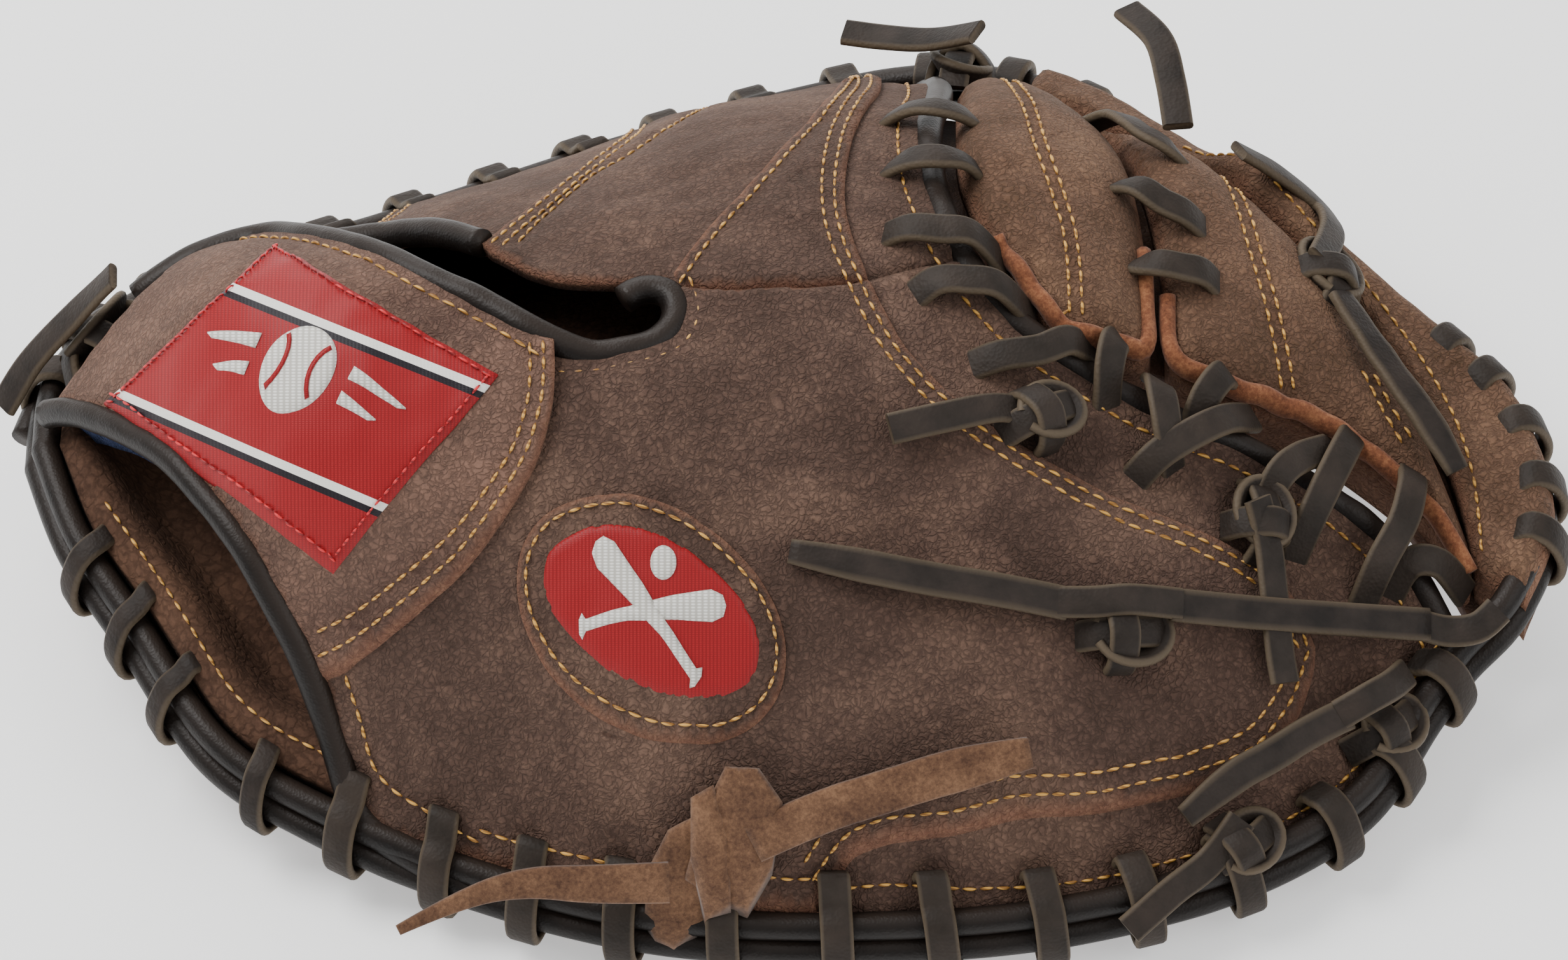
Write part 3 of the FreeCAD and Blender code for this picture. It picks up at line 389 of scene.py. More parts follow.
@dataclass(frozen=True)
class Woven(Finish):
    """Damask-woven polyester satin: fine floats run one way and give a soft streaky shine; its colour is
    darker between the threads as painted shade.
    """

    base: str = "#a3161d"
    shade: str = "#800f15"
    thread_mm: float = 0.5
    stripes: tuple[tuple[float, float, float, float, str], ...] = ()

    def build(self) -> bpy.types.Material:
        """Builds the satin from its UV map in millimetres: thread ribs, drawn coarse to show, with painted
        shade between the threads in the colour, and stripes.
        """
        made, tree, shader, at = self.start(Place.UV)
        weft = add_node(tree, "ShaderNodeTexWave", {"bands_direction": "Y"},
                        {"Scale": 0.314 / self.thread_mm, "Distortion": 0.3, "Detail": 1.0}, {"Vector": at})
        warp = add_node(tree, "ShaderNodeTexWave", {"bands_direction": "X"},
                        {"Scale": 0.157 / self.thread_mm, "Distortion": 0.2}, {"Vector": at})
        both = add_node(tree, "ShaderNodeMath", {"operation": "MULTIPLY"}, links={0: weft.outputs["Fac"],
                                                                                1: warp.outputs["Fac"]})
        # Painted shade: the shade colour darkens the troughs between the threads.
        colour = ramp_of(tree, both.outputs[0], [(0.0, self.shade), (0.6, self.base)])
        for across_x, across_y, place, wide, tint in self.stripes:
            reach = add_node(tree, "ShaderNodeVectorMath", {"operation": "DOT_PRODUCT"},
                             {1: (across_x, across_y, 0.0)}, {0: at})
            band = add_node(tree, "ShaderNodeMath", {"operation": "COMPARE"}, {1: place, 2: wide / 2},
                            {0: reach.outputs["Value"]})
            layer = add_node(tree, "ShaderNodeMix", {"data_type": "RGBA"}, {7: srgb(tint)},
                             {0: band.outputs[0], 6: colour})
            colour = layer.outputs[2]
        tree.links.new(colour, shader.inputs["Base Color"])
        bump = add_node(tree, "ShaderNodeBump", values={"Strength": 0.5, "Distance": 0.08 * MM},
                        links={"Height": both.outputs[0]})
        tree.links.new(bump.outputs["Normal"], shader.inputs["Normal"])
        return made


@dataclass(frozen=True)
class Thread(Finish):
    """Bonded three-ply nylon thread: waxed, twisted, with a small highlight on each ply."""

    base: str = "#d3a04c"
    shade: str = "#8d5f22"
    ply_mm: float = 0.55

    def build(self) -> bpy.types.Material:
        """Builds the thread: fine slanting plies in bump, and in colour as painted shade in the grooves
        between the plies.
        """
        made, tree, shader, at = self.start()
        turned = add_node(tree, "ShaderNodeMapping", values={"Rotation": (0.6, 0.5, 0.9)},
                          links={"Vector": at})
        ply = add_node(tree, "ShaderNodeTexWave", {"bands_direction": "DIAGONAL"},
                       {"Scale": 314 / self.ply_mm / 2, "Distortion": 1.0},
                       {"Vector": turned.outputs["Vector"]})
        # Painted shade: the shade colour darkens the grooves between the plies.
        colour = ramp_of(tree, ply.outputs["Fac"], [(0.1, self.shade), (0.6, self.base)])
        tree.links.new(colour, shader.inputs["Base Color"])
        bump = add_node(tree, "ShaderNodeBump", values={"Strength": 0.6, "Distance": 0.08 * MM},
                        links={"Height": ply.outputs["Fac"]})
        tree.links.new(bump.outputs["Normal"], shader.inputs["Normal"])
        return made


@dataclass(frozen=True)
class Fleece(Finish):
    """Knitted pile: clumped short fibres, with painted shade between the tufts and sheeny on top."""

    dark: str = "#0b0f1a"
    light: str = "#2a3350"
    tuft_mm: float = 2.2

    def build(self) -> bpy.types.Material:
        """Builds the pile: tuft cells, fibre streaks, painted shade between the tufts and a deep bump."""
        made, tree, shader, at = self.start()
        tuft = add_node(tree, "ShaderNodeTexVoronoi", values={"Scale": 1000 / self.tuft_mm},
                        links={"Vector": at})
        fibre = add_node(tree, "ShaderNodeTexNoise", values={"Scale": 1 / 0.0006, "Detail": 3.0},
                         links={"Vector": at})
        mixed = add_node(tree, "ShaderNodeMath", {"operation": "MULTIPLY_ADD"}, {1: -0.9},
                         {0: tuft.outputs["Distance"], 2: fibre.outputs["Fac"]})
        # Painted shade: the colour runs from the navy pile to near black between the tufts.
        colour = ramp_of(tree, mixed.outputs[0], [(0.0, self.dark), (0.6, self.light)])
        tree.links.new(colour, shader.inputs["Base Color"])
        bump = add_node(tree, "ShaderNodeBump", values={"Strength": 1.0, "Distance": 0.6 * MM},
                        links={"Height": mixed.outputs[0]})
        tree.links.new(bump.outputs["Normal"], shader.inputs["Normal"])
        return made


def stripe_on_label(which: int, shift: float, wide: float, tint: str) -> tuple[float, float, float, float,
                                                                               str]:
    """A stripe of the label in its thread map.

    Args:
        which: The first or the second stripe line.
        shift: Distance of the stripe's middle below its line.
        wide: The stripe's width.
        tint: Its colour.

    Returns:
        The direction across the stripe, its place along that direction, its width and its colour.
    """
    left, right = (np.array(p, float) for p in LABEL_LINES[which - 1])
    run = (right - left) / np.linalg.norm(right - left)
    across = (float(run[1]), float(-run[0]))
    return (*across, float(np.dot(across, left)) + shift, wide, tint)


class Stock:
    """The maker's shelf of finishes, one material each."""

    def __init__(self) -> None:
        """Builds every material once."""
        self.hide = Hide("pebbled_nubuck_cowhide", roughness=0.88, specular=0.28, sheen=0.12,
                         sheen_tint="#c9a68c").build()
        self.strap_hide = Hide("pebbled_nubuck_strap", roughness=0.86, specular=0.3, sheen=0.12,
                               dark="#47312a",
                               middle="#624a3f", light="#806152", sheen_tint="#c9a68c").build()
        self.web_hide = Hide("pebbled_nubuck_web", roughness=0.88, specular=0.28, sheen=0.12,
                             dark="#44301f",
                             middle="#604636", light="#7d5f49", sheen_tint="#c9a68c").build()
        self.palm = Hide("drummed_palm_cowhide", roughness=0.66, specular=0.4, pebble_mm=1.1, depth_mm=0.12,
                         dark="#38251c", middle="#4d3527", light="#63483a").build()
        self.inside = Hide("suede_lining_hide", roughness=0.94, specular=0.15, pebble_mm=2.4, depth_mm=0.15,
                           dark="#3a281f", middle="#4f392d", light="#654a3a").build()
        self.binding = SmoothHide("waxed_binding_leather", roughness=0.45, specular=0.22).build()
        self.lace = SmoothHide("rawhide_lace", roughness=0.6, specular=0.2, base="#1d1815",
                               rubbed="#322a25",
                               edge="#5a4e3f", grain_mm=0.7, depth_mm=0.12, crease=0.7).build()
        self.thong = Suede("split_suede_thong", roughness=0.95, specular=0.15, sheen=0.15, dark="#452f24",
                           base="#654936", light="#84634a").build()
        self.raw = Suede("raw_cut_suede", roughness=0.97, specular=0.1, sheen=0.1, dark="#4e2f22",
                         base="#7a4c35",
                         light="#a06d4c").build()
        self.satin = Woven("woven_red_satin", roughness=0.5, specular=0.3, sheen=0.05, sheen_tint="#ff9a90",
                           thread_mm=0.35).build()
        edges = [(1, 0.0, 1.7, "#ece9e2"), (1, 1.5, 1.3, "#16131a"), (2, 0.0, 1.7, "#ece9e2"),
                 (2, 1.5, 1.3, "#16131a")]
        self.label = Woven("woven_red_label", roughness=0.5, specular=0.3, sheen=0.05, sheen_tint="#ff9a90",
                           thread_mm=0.35, stripes=tuple(stripe_on_label(*edge) for edge in edges)).build()
        self.white = Woven("embroidered_white", roughness=0.6, specular=0.4, base="#f1efe9",
                           shade="#b9b5ac",
                           thread_mm=0.6).build()
        self.gold = Thread("waxed_gold_thread", roughness=0.5).build()
        self.red = Thread("waxed_red_thread", roughness=0.5, base="#d42a30", shade="#7d1015").build()
        self.fleece = Fleece("navy_pile_fleece", roughness=1.0, specular=0.1, sheen=0.6,
                             sheen_tint="#7c8cc0").build()


# ---------------------------------------------------------------- shapes over the plan

class HeightField:
    """The smooth surface of least bending through scattered heights over the plan, in millimetres."""

    def __init__(self, points: Sequence[tuple[float, float, float]], slack: float = 0.0) -> None:
        """Solves the spline's weights.

        Args:
            points: x, y and height of each point.
            slack: How far the surface may pass from its points.
        """
        table = np.array(points, float)
        self.at = table[:, :2]
        count = len(table)
        gap = np.linalg.norm(self.at[:, None] - self.at[None], axis=2)
        flat = np.c_[np.ones(count), self.at]
        system = np.block([[self.kernel(gap) + slack * np.eye(count), flat], [flat.T, np.zeros((3, 3))]])
        self.weights = np.linalg.solve(system, np.r_[table[:, 2], 0, 0, 0])

    @staticmethod
    def kernel(gap: Array) -> Array:
        """The thin plate's response at a distance."""
        return np.where(gap > 0, gap * gap * np.log(np.maximum(gap, 1e-9)), 0.0)

    def __call__(self, x: Array, y: Array) -> Array:
        """Heights at plan points."""
        spots = np.stack([np.ravel(x), np.ravel(y)], 1).astype(float)
        gap = np.linalg.norm(spots[:, None] - self.at[None], axis=2)
        level = self.kernel(gap) @ self.weights[:-3] + self.weights[-3] + spots @ self.weights[-2:]
        return level.reshape(np.shape(x))


BACK_FIELD = HeightField(RIM + CROWN, 30.0)
PALM_FIELD = HeightField([(x, y, z - 6.5) for x, y, z in RIM] + PALM)
PAD_FIELD = HeightField([(x, y, 4.0) for x, y, z in RIM] + PAD)
_plan = np.meshgrid(np.arange(-132, 110, 4), np.arange(-104, 110, 4), indexing="ij")
PALM_LOW = float(PALM_FIELD(*_plan).min())


def ripple(x: Array, y: Array, length: float, seed: int) -> Array:
    """Soft seeded unevenness of unit size.

    Args:
        x: Plan positions.
        y: Plan positions.
        length: The usual wavelength in millimetres.
        seed: Picks the pattern.

    Returns:
        Values of about plus or minus one.
    """
    draw = np.random.default_rng(seed)
    total = np.zeros(np.shape(x))
    for _ in range(9):
        angle, phase = draw.uniform(0, 2 * np.pi, 2)
        wave = 2 * np.pi / (length * draw.uniform(0.7, 1.5))
        total = total + np.sin(wave * (x * np.cos(angle) + y * np.sin(angle)) + phase)
    return total / 3.0


def back_height(x: Array, y: Array) -> Array:
    """The back's outer face, with the leather's own soft unevenness.

    Args:
        x: Plan positions.
        y: Plan positions.

    Returns:
        Heights in millimetres.
    """
    x, y = np.asarray(x, float), np.asarray(y, float)
    return BACK_FIELD(x, y) + 0.45 * ripple(x, y, 30, 3) + 0.14 * ripple(x, y, 9, 5)


def steepness(x: Array, y: Array) -> Array:
    """Vertical depth of a sheet of unit thickness on the back.

    Args:
        x: Plan positions.
        y: Plan positions.

    Returns:
        The depth, at most that of a slope of about one in one.
    """
    rise_x = (BACK_FIELD(x + 2, y) - BACK_FIELD(x - 2, y)) / 4
    rise_y = (BACK_FIELD(x, y + 2) - BACK_FIELD(x, y - 2)) / 4
    return np.minimum(np.sqrt(1 + rise_x ** 2 + rise_y ** 2), 1.7)


def back(depth: float = 0.0) -> Height:
    """The layer that lies depth below the back's outer face."""
    return lambda x, y: back_height(x, y) - depth * steepness(x, y)


def strap(depth: float = 0.0) -> Height:
    """The layer that lies depth below the strap's outer face.

    Args:
        depth: Distance below the outer face.

    Returns:
        A height function.
    """
    def layer(x: Array, y: Array) -> Array:
        """Heights of the layer."""
        share = np.clip((np.asarray(y, float) + 24.0) / 90.0, 0, 1)
        return back_height(x, y) + 3.2 + 3.2 * share - depth * steepness(x, y)
    return layer


def palm(height: float = 0.0) -> Height:
    """The layer that lies height above the palm face, cut flat where it rests."""
    return lambda x, y: np.maximum(PALM_FIELD(x, y) - PALM_LOW - 1.0 + height, height * 0.5)


def pad_top(x: Array, y: Array) -> Array:
    """Top of the palm pad: its own thickness, but clear of the back.

    Args:
        x: Plan positions.
        y: Plan positions.

    Returns:
        Heights in millimetres.
    """
    low = PALM_FIELD(x, y) - PALM_LOW - 1.0 + 3.5
    roof = BACK_FIELD(x, y) - 7.7 * steepness(x, y) - 0.3
    return np.maximum(np.minimum(low + PAD_FIELD(x, y), roof), low + 0.8)


def curve(points: Sequence[Sequence[float]], step: float = 1.2) -> Array:
    """An even run of points on the smooth curve through the given ones.

    Args:
        points: Two or three coordinates each.
        step: Distance between the new points.

    Returns:
        The points, from the first to the last.
    """
    table = np.array(points, float)
    if len(table) > 2:
        ends = np.vstack([table[:1], table, table[-1:]])
        t = np.linspace(0, 1, 12, endpoint=False)[:, None]
        runs = [0.5 * (2 * q + (r - p) * t + (2 * p - 5 * q + 4 * r - s) * t * t
                       + (3 * q - p - 3 * r + s) * t ** 3)
                for p, q, r, s in zip(ends, ends[1:], ends[2:], ends[3:])]
        table = np.vstack(runs + [table[-1:]])
    reach = np.r_[0, np.cumsum(np.linalg.norm(np.diff(table, axis=0), axis=1))]
    count = max(int(round(reach[-1] / step)), 1)
    spots = np.linspace(0, reach[-1], count + 1)
    return np.stack([np.interp(spots, reach, table[:, k]) for k in range(table.shape[1])], 1)


def aside(points: Array, offset: float) -> Array:
    """A run of plan points moved to its left by an offset.

    Args:
        points: The run, two or more coordinates each.
        offset: Distance to the left of travel.

    Returns:
        The moved run.
    """
    ahead = np.gradient(points[:, :2], axis=0)
    ahead /= np.linalg.norm(ahead, axis=1)[:, None]
    moved = points.copy()
    moved[:, 0] -= ahead[:, 1] * offset
    moved[:, 1] += ahead[:, 0] * offset
    return moved


def loop(*sides: Sequence[Sequence[float]], step: float = 1.2) -> Array:
    """A closed outline from sides that meet end to end."""
    runs = [curve([p[:2] for p in side], step)[:-1] for side in sides]
    return np.vstack(runs)


def distance_to(spots: Array, path: Array, closed: bool = False) -> Array:
    """Distance of plan points from a run of points.

    Args:
        spots: Plan points.
        path: The run of points.
        closed: Whether the run meets itself.

    Returns:
        One distance for each plan point.
    """
    ends = np.roll(path, -1, axis=0) if closed else path[1:]
    starts = path if closed else path[:-1]
    best = np.full(len(spots), 1e9)
    for first in range(0, len(starts), 64):
        a, b = starts[first:first + 64], ends[first:first + 64]
        span = b - a
        size = np.maximum((span ** 2).sum(1), 1e-9)
        t = np.clip(((spots[:, None] - a[None]) * span[None]).sum(2) / size[None], 0, 1)
        near = a[None] + t[..., None] * span[None]
        best = np.minimum(best, np.linalg.norm(spots[:, None] - near, axis=2).min(1))
    return best


def inside(spots: Array, outline: Array) -> Array:
    """Which plan points lie inside a closed outline.

    Args:
        spots: Plan points.
        outline: The closed outline.

    Returns:
        True for each point inside.
    """
    x, y = spots[:, 0][:, None], spots[:, 1][:, None]
    x0, y0 = outline[:, 0][None], outline[:, 1][None]
    x1, y1 = np.roll(outline[:, 0], -1)[None], np.roll(outline[:, 1], -1)[None]
    across = ((y0 > y) != (y1 > y)) & (x < (x1 - x0) * (y - y0) / np.where(y1 == y0, 1e-9, y1 - y0) + x0)
    return across.sum(1) % 2 == 1


def shrunk(outline: Array, amount: float) -> Array:
    """A closed counter-clockwise outline moved inwards, without the points that fold over.

    Args:
        outline: The closed outline.
        amount: Distance inwards; less than nothing grows it.

    Returns:
        The new outline.
    """
    ahead = np.roll(outline, -1, axis=0) - np.roll(outline, 1, axis=0)
    ahead /= np.linalg.norm(ahead, axis=1)[:, None]
    moved = outline + np.stack([-ahead[:, 1], ahead[:, 0]], 1) * amount
    keep = distance_to(moved, outline, True) > abs(amount) * 0.97
    if amount < 0:
        return moved
    return moved[keep]


# ---------------------------------------------------------------- making and placing pieces

def mesh_object(name: str, points: Array, faces: Iterable[Sequence[int]],
                material: Optional[bpy.types.Material], smooth: bool = True) -> bpy.types.Object:
    """Makes a piece from points in millimetres.

    Args:
        name: The piece's name.
        points: Its points in millimetres.
        faces: Corner numbers of each face.
        material: Its finish.
        smooth: Whether the shading is smooth.

    Returns:
        The object, at the origin.
    """
    mesh = bpy.data.meshes.new(name)
    mesh.from_pydata((np.asarray(points, float) * MM).tolist(), [], [list(f) for f in faces])
    mesh.validate()
    mesh.update()
    if smooth:
        mesh.shade_smooth()
    piece = bpy.data.objects.new(name, mesh)
    bpy.context.scene.collection.objects.link(piece)
    if material:
        mesh.materials.append(material)
    return piece


FOLD_AT = (np.array(FOLD_HEEL) + np.array(FOLD_CROTCH)) / 2
FOLD_ALONG = (np.array(FOLD_CROTCH) - np.array(FOLD_HEEL)) / np.linalg.norm(np.array(FOLD_CROTCH) - FOLD_HEEL)
FOLD_SIDE = np.cross((0, 0, 1), FOLD_ALONG) / np.linalg.norm(np.cross((0, 0, 1), FOLD_ALONG))


def settle(piece: bpy.types.Object, slot: str, *nodes: str) -> bpy.types.Object:
    """Gives a finished piece the body on whose side of the fold it lies; a piece that crosses the fold is
    left without a body.

    Args:
        piece: The finished piece.
        slot: Its material slot; not used.
        nodes: The CAD nodes that it stands for.

    Returns:
        The same piece.
    """
    points = np.array([v.co for v in piece.data.vertices]) / MM
    side = (points - FOLD_AT) @ FOLD_SIDE
    if side.min() >= FOLD_SPREAD:
        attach(piece, "finger_side")
    elif side.max() <= -FOLD_SPREAD:
        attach(piece, "thumb_side")
    else:
        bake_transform(piece)
    if nodes:
        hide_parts(*nodes)
    log.info("%s: %d faces", piece.name, len(piece.data.polygons))
    return piece


@dataclass
class Sheet:
    """A leather panel cut to an outline and laid on a height function."""

    outline: Array
    top: Height
    thickness: float = 2.6
    round_over: float = 1.3
    edge_drop: float = 1.2
    spacing: float = 1.5
    puckers: list[tuple[Array, float, float]] = field(default_factory=list)
    bulge: float = 0.0
    bulge_reach: float = 10.0
    raw_edge: float = 0.0
    bottom: Optional[Height] = None

    def build(self, name: str, material: bpy.types.Material) -> bpy.types.Object:
        """Triangulates the outline and raises it into a closed leather panel.

        Args:
            name: The piece's name.
            material: Its finish.

        Returns:
            The panel.
        """
        edge = self.outline
        if ((edge[:, 0] * np.roll(edge[:, 1], -1)) - (np.roll(edge[:, 0], -1) * edge[:, 1])).sum() < 0:
            edge = edge[::-1]
        low, high = edge.min(0), edge.max(0)
        xs = np.arange(low[0], high[0], self.spacing)
        ys = np.arange(low[1], high[1], self.spacing * 0.866)
        grid = np.array([(x + (k % 2) * self.spacing / 2, y) for k, y in enumerate(ys) for x in xs])
        grid = grid[inside(grid, edge)]
        grid = grid[distance_to(grid, edge, True) > self.spacing * 0.55]
        spots = np.vstack([edge, grid])
        rim = [(k, (k + 1) % len(edge)) for k in range(len(edge))]
        flat, _, tris, *_ = delaunay_2d_cdt([Vector(p) for p in spots], rim, [], 1, 1e-5)
        flat = np.array([tuple(p) for p in flat])
        gap = distance_to(flat, edge, True)
        z = self.top(flat[:, 0], flat[:, 1])
        steep = steepness(flat[:, 0], flat[:, 1])
        near = np.clip(1 - gap / self.round_over, 0, 1)
        z = z - self.edge_drop * (1 - np.sqrt(np.maximum(1 - near ** 2, 0))) * steep
        if self.bulge:
            z = z + self.bulge * (1 - np.exp(-gap / self.bulge_reach))
        for path, depth, width in self.puckers:
            away = distance_to(flat, path[:, :2])
            z = z - depth * np.exp(-(away / width) ** 2) * steep
        if self.bottom:
            under = np.minimum(self.bottom(flat[:, 0], flat[:, 1]), z - 0.3)
        else:
            under = z - self.thickness * steep
        under = np.maximum(under, 0.0)
        count = len(flat)
        uses: dict[tuple[int, int], int] = {}
        for face in tris:
            for a, b in zip(face, list(face[1:]) + [face[0]]):
                uses[(a, b)] = uses.get((a, b), 0) + 1
        border = [(a, b) for (a, b) in uses if (b, a) not in uses]
        points = np.vstack([np.c_[flat, z], np.c_[flat, under]])
        faces = [tuple(f) for f in tris] + [tuple(count + k for k in reversed(f)) for f in tris]
        faces += [(b, a, count + a, count + b) for a, b in border]
        piece = mesh_object(name, points, faces, material)
        wear = np.zeros(2 * count, np.float32)
        wear[:count] = (gap < 0.02) * 0.6 * self.raw_edge
        wear[count:] = 0.45 * self.raw_edge
        piece.data.attributes.new("wear", "FLOAT", "POINT").data.foreach_set("value", wear)
        return piece


@dataclass
class Strand:
    """A tube or a flat lace swept along a run of points."""

    path: Array
    across: Array
    width: float
    thickness: float
    sides: int = 12
    squareness: float = 1.0
    taper: Optional[Array] = None
    closed: bool = False

    def build(self, name: str, material: bpy.types.Material) -> bpy.types.Object:
        """Sweeps the section along the path.

        Args:
            name: The piece's name.
            material: Its finish.

        Returns:
            The swept piece.
        """
        points, faces, wear = self.shell()
        piece = mesh_object(name, points, faces, material)
        piece.data.attributes.new("wear", "FLOAT", "POINT").data.foreach_set("value", wear)
        return piece

    def shell(self) -> tuple[Array, list[tuple[int, ...]], Array]:
        """Points, faces and edge wear of the sweep."""
        path = np.asarray(self.path, float)
        ahead = np.gradient(path, axis=0)
        if self.closed:
            ahead = np.roll(path, -1, axis=0) - np.roll(path, 1, axis=0)
        ahead /= np.linalg.norm(ahead, axis=1)[:, None]
        wide = np.broadcast_to(np.asarray(self.across, float), path.shape)
        wide = wide - (wide * ahead).sum(1)[:, None] * ahead
        wide /= np.linalg.norm(wide, axis=1)[:, None]
        thick = np.cross(ahead, wide)
        angle = np.linspace(0, 2 * np.pi, self.sides, endpoint=False) + np.pi / self.sides
        power = 1.0 / self.squareness
        u = np.sign(np.cos(angle)) * np.abs(np.cos(angle)) ** power * self.width / 2
        v = np.sign(np.sin(angle)) * np.abs(np.sin(angle)) ** power * self.thickness / 2
        scale = np.ones(len(path)) if self.taper is None else self.taper
        rings = (path[:, None] + wide[:, None] * (u[None] * scale[:, None])[..., None]
                 + thick[:, None] * v[None, :, None])
        n, m = len(path), self.sides
        points = rings.reshape(-1, 3)
        faces: list[tuple[int, ...]] = []
        for i in range(n if self.closed else n - 1):
            k = (i + 1) % n
            faces += [(i * m + j, i * m + (j + 1) % m, k * m + (j + 1) % m, k * m + j) for j in range(m)]
        if not self.closed:
            faces.append(tuple(reversed(range(m))))
            faces.append(tuple((n - 1) * m + j for j in range(m)))
        wear = np.tile(np.clip(np.abs(u) / (self.width / 2) * 2.6 - 1.7, 0, 1), n).astype(np.float32)
        return points, faces, wear


def on(height: Height, points: Array, lift: float = 0.0) -> Array:
    """Plan points raised onto a height function."""
    return np.c_[points[:, :2], height(points[:, 0], points[:, 1]) + lift]


def face_normal(height: Height, points: Array) -> Array:
    """Unit normals of a height function at plan points.

    Args:
        height: The height function.
        points: Plan points.

    Returns:
        One normal for each point.
    """
    x, y = points[:, 0], points[:, 1]
    rise_x = (height(x + 1, y) - height(x - 1, y)) / 2
    rise_y = (height(x, y + 1) - height(x, y - 1)) / 2
    normal = np.stack([-rise_x, -rise_y, np.ones(len(points))], 1)
    return normal / np.linalg.norm(normal, axis=1)[:, None]


class Rows:
    """Geometry Nodes that set one small piece at each point, turned to its row and its surface."""

    def __init__(self) -> None:
        """Builds the tree with its named inputs."""
        tree = bpy.data.node_groups.new("pieces_in_rows", "GeometryNodeTree")
        self.tree = tree
        self.ids: dict[str, str] = {}
        for label, kind in (("Geometry", "NodeSocketGeometry"), ("Piece", "NodeSocketObject"),
                            ("Size", "NodeSocketFloat"), ("Unevenness", "NodeSocketFloat"),
                            ("Seed", "NodeSocketInt"), ("Finish", "NodeSocketMaterial")):
            self.ids[label] = tree.interface.new_socket(label, in_out="INPUT", socket_type=kind).identifier
        tree.interface.new_socket("Geometry", in_out="OUTPUT", socket_type="NodeSocketGeometry")
        given = add_node(tree, "NodeGroupInput").outputs
        piece = add_node(tree, "GeometryNodeObjectInfo", links={"Object": given["Piece"]})
        ahead = add_node(tree, "GeometryNodeInputNamedAttribute", {"data_type": "FLOAT_VECTOR"},
                         {"Name": "ahead"})
        rise = add_node(tree, "GeometryNodeInputNamedAttribute", {"data_type": "FLOAT_VECTOR"},
                        {"Name": "rise"})
        turn = add_node(tree, "FunctionNodeAxesToRotation", {"primary_axis": "X", "secondary_axis": "Z"},
                        links={"Primary Axis": ahead.outputs["Attribute"],
                               "Secondary Axis": rise.outputs["Attribute"]})
        least = add_node(tree, "ShaderNodeMath", {"operation": "SUBTRACT"}, links={0: given["Size"],
                                                                                  1: given["Unevenness"]})
        most = add_node(tree, "ShaderNodeMath", {"operation": "ADD"}, links={0: given["Size"],
                                                                            1: given["Unevenness"]})
        size = add_node(tree, "FunctionNodeRandomValue", {"data_type": "FLOAT"},
                        links={"Min": least.outputs[0], "Max": most.outputs[0], "Seed": given["Seed"]})
        placed = add_node(tree, "GeometryNodeInstanceOnPoints",
                          links={"Points": given["Geometry"], "Instance": piece.outputs["Geometry"],
                                 "Rotation": turn.outputs["Rotation"], "Scale": size.outputs["Value"]})
        real = add_node(tree, "GeometryNodeRealizeInstances",
                        links={"Geometry": placed.outputs["Instances"]})
        done = add_node(tree, "GeometryNodeSetMaterial", links={"Geometry": real.outputs["Geometry"],
                                                                "Material": given["Finish"]})
        add_node(tree, "NodeGroupOutput", links={"Geometry": done.outputs["Geometry"]})

    def lay(self, name: str, rows: Sequence[tuple[Array, Array]], pitch: float, piece: bpy.types.Object,
            finish: bpy.types.Material, seed: int, uneven: float = 0.06) -> bpy.types.Object:
        """Sets the piece along rows.

        Args:
            name: The result's name.
            rows: Space points of each row, with the surface normals there.
            pitch: Distance from one to the next, in millimetres.
            piece: The small piece, along +X with +Z off the surface.
            finish: Its material.
            seed: Picks the small differences in size.
            uneven: How much the sizes differ.

        Returns:
            One plain mesh of every small piece.
        """
        spots, aheads, rises = [], [], []
        for path, normal in rows:
            reach = np.r_[0, np.cumsum(np.linalg.norm(np.diff(path, axis=0), axis=1))]
            count = max(int(reach[-1] / pitch), 1)
            at = (np.arange(count) + 0.5) * reach[-1] / count
            spot = np.stack([np.interp(at, reach, path[:, k]) for k in range(3)], 1)
            after = np.stack([np.interp(at + 0.5, reach, path[:, k]) for k in range(3)], 1)
            before = np.stack([np.interp(at - 0.5, reach, path[:, k]) for k in range(3)], 1)
            spots.append(spot)
            aheads.append(after - before)
            rises.append(np.stack([np.interp(at, reach, normal[:, k]) for k in range(3)], 1))
        cloud = bpy.data.meshes.new(name + "_cloud")
        cloud.from_pydata((np.vstack(spots) * MM).tolist(), [], [])
        for label, data in (("ahead", np.vstack(aheads)), ("rise", np.vstack(rises))):
            unit = data / np.linalg.norm(data, axis=1)[:, None]
            cloud.attributes.new(label, "FLOAT_VECTOR", "POINT").data.foreach_set("vector", unit.ravel())
        holder = bpy.data.objects.new(name, cloud)
        bpy.context.scene.collection.objects.link(holder)
        rows_on = holder.modifiers.new("rows", "NODES")
        rows_on.node_group = self.tree
        for label, value in (("Piece", piece), ("Size", 1.0), ("Unevenness", uneven), ("Seed", seed),
                             ("Finish", finish)):
            rows_on[self.ids[label]] = value
        graph = bpy.context.evaluated_depsgraph_get()
        made = bpy.data.meshes.new_from_object(holder.evaluated_get(graph))
        holder.modifiers.clear()
        holder.data = made
        made.name = name
        for label in ("ahead", "rise"):
            if label in made.attributes:
                made.attributes.remove(made.attributes[label])
        return holder


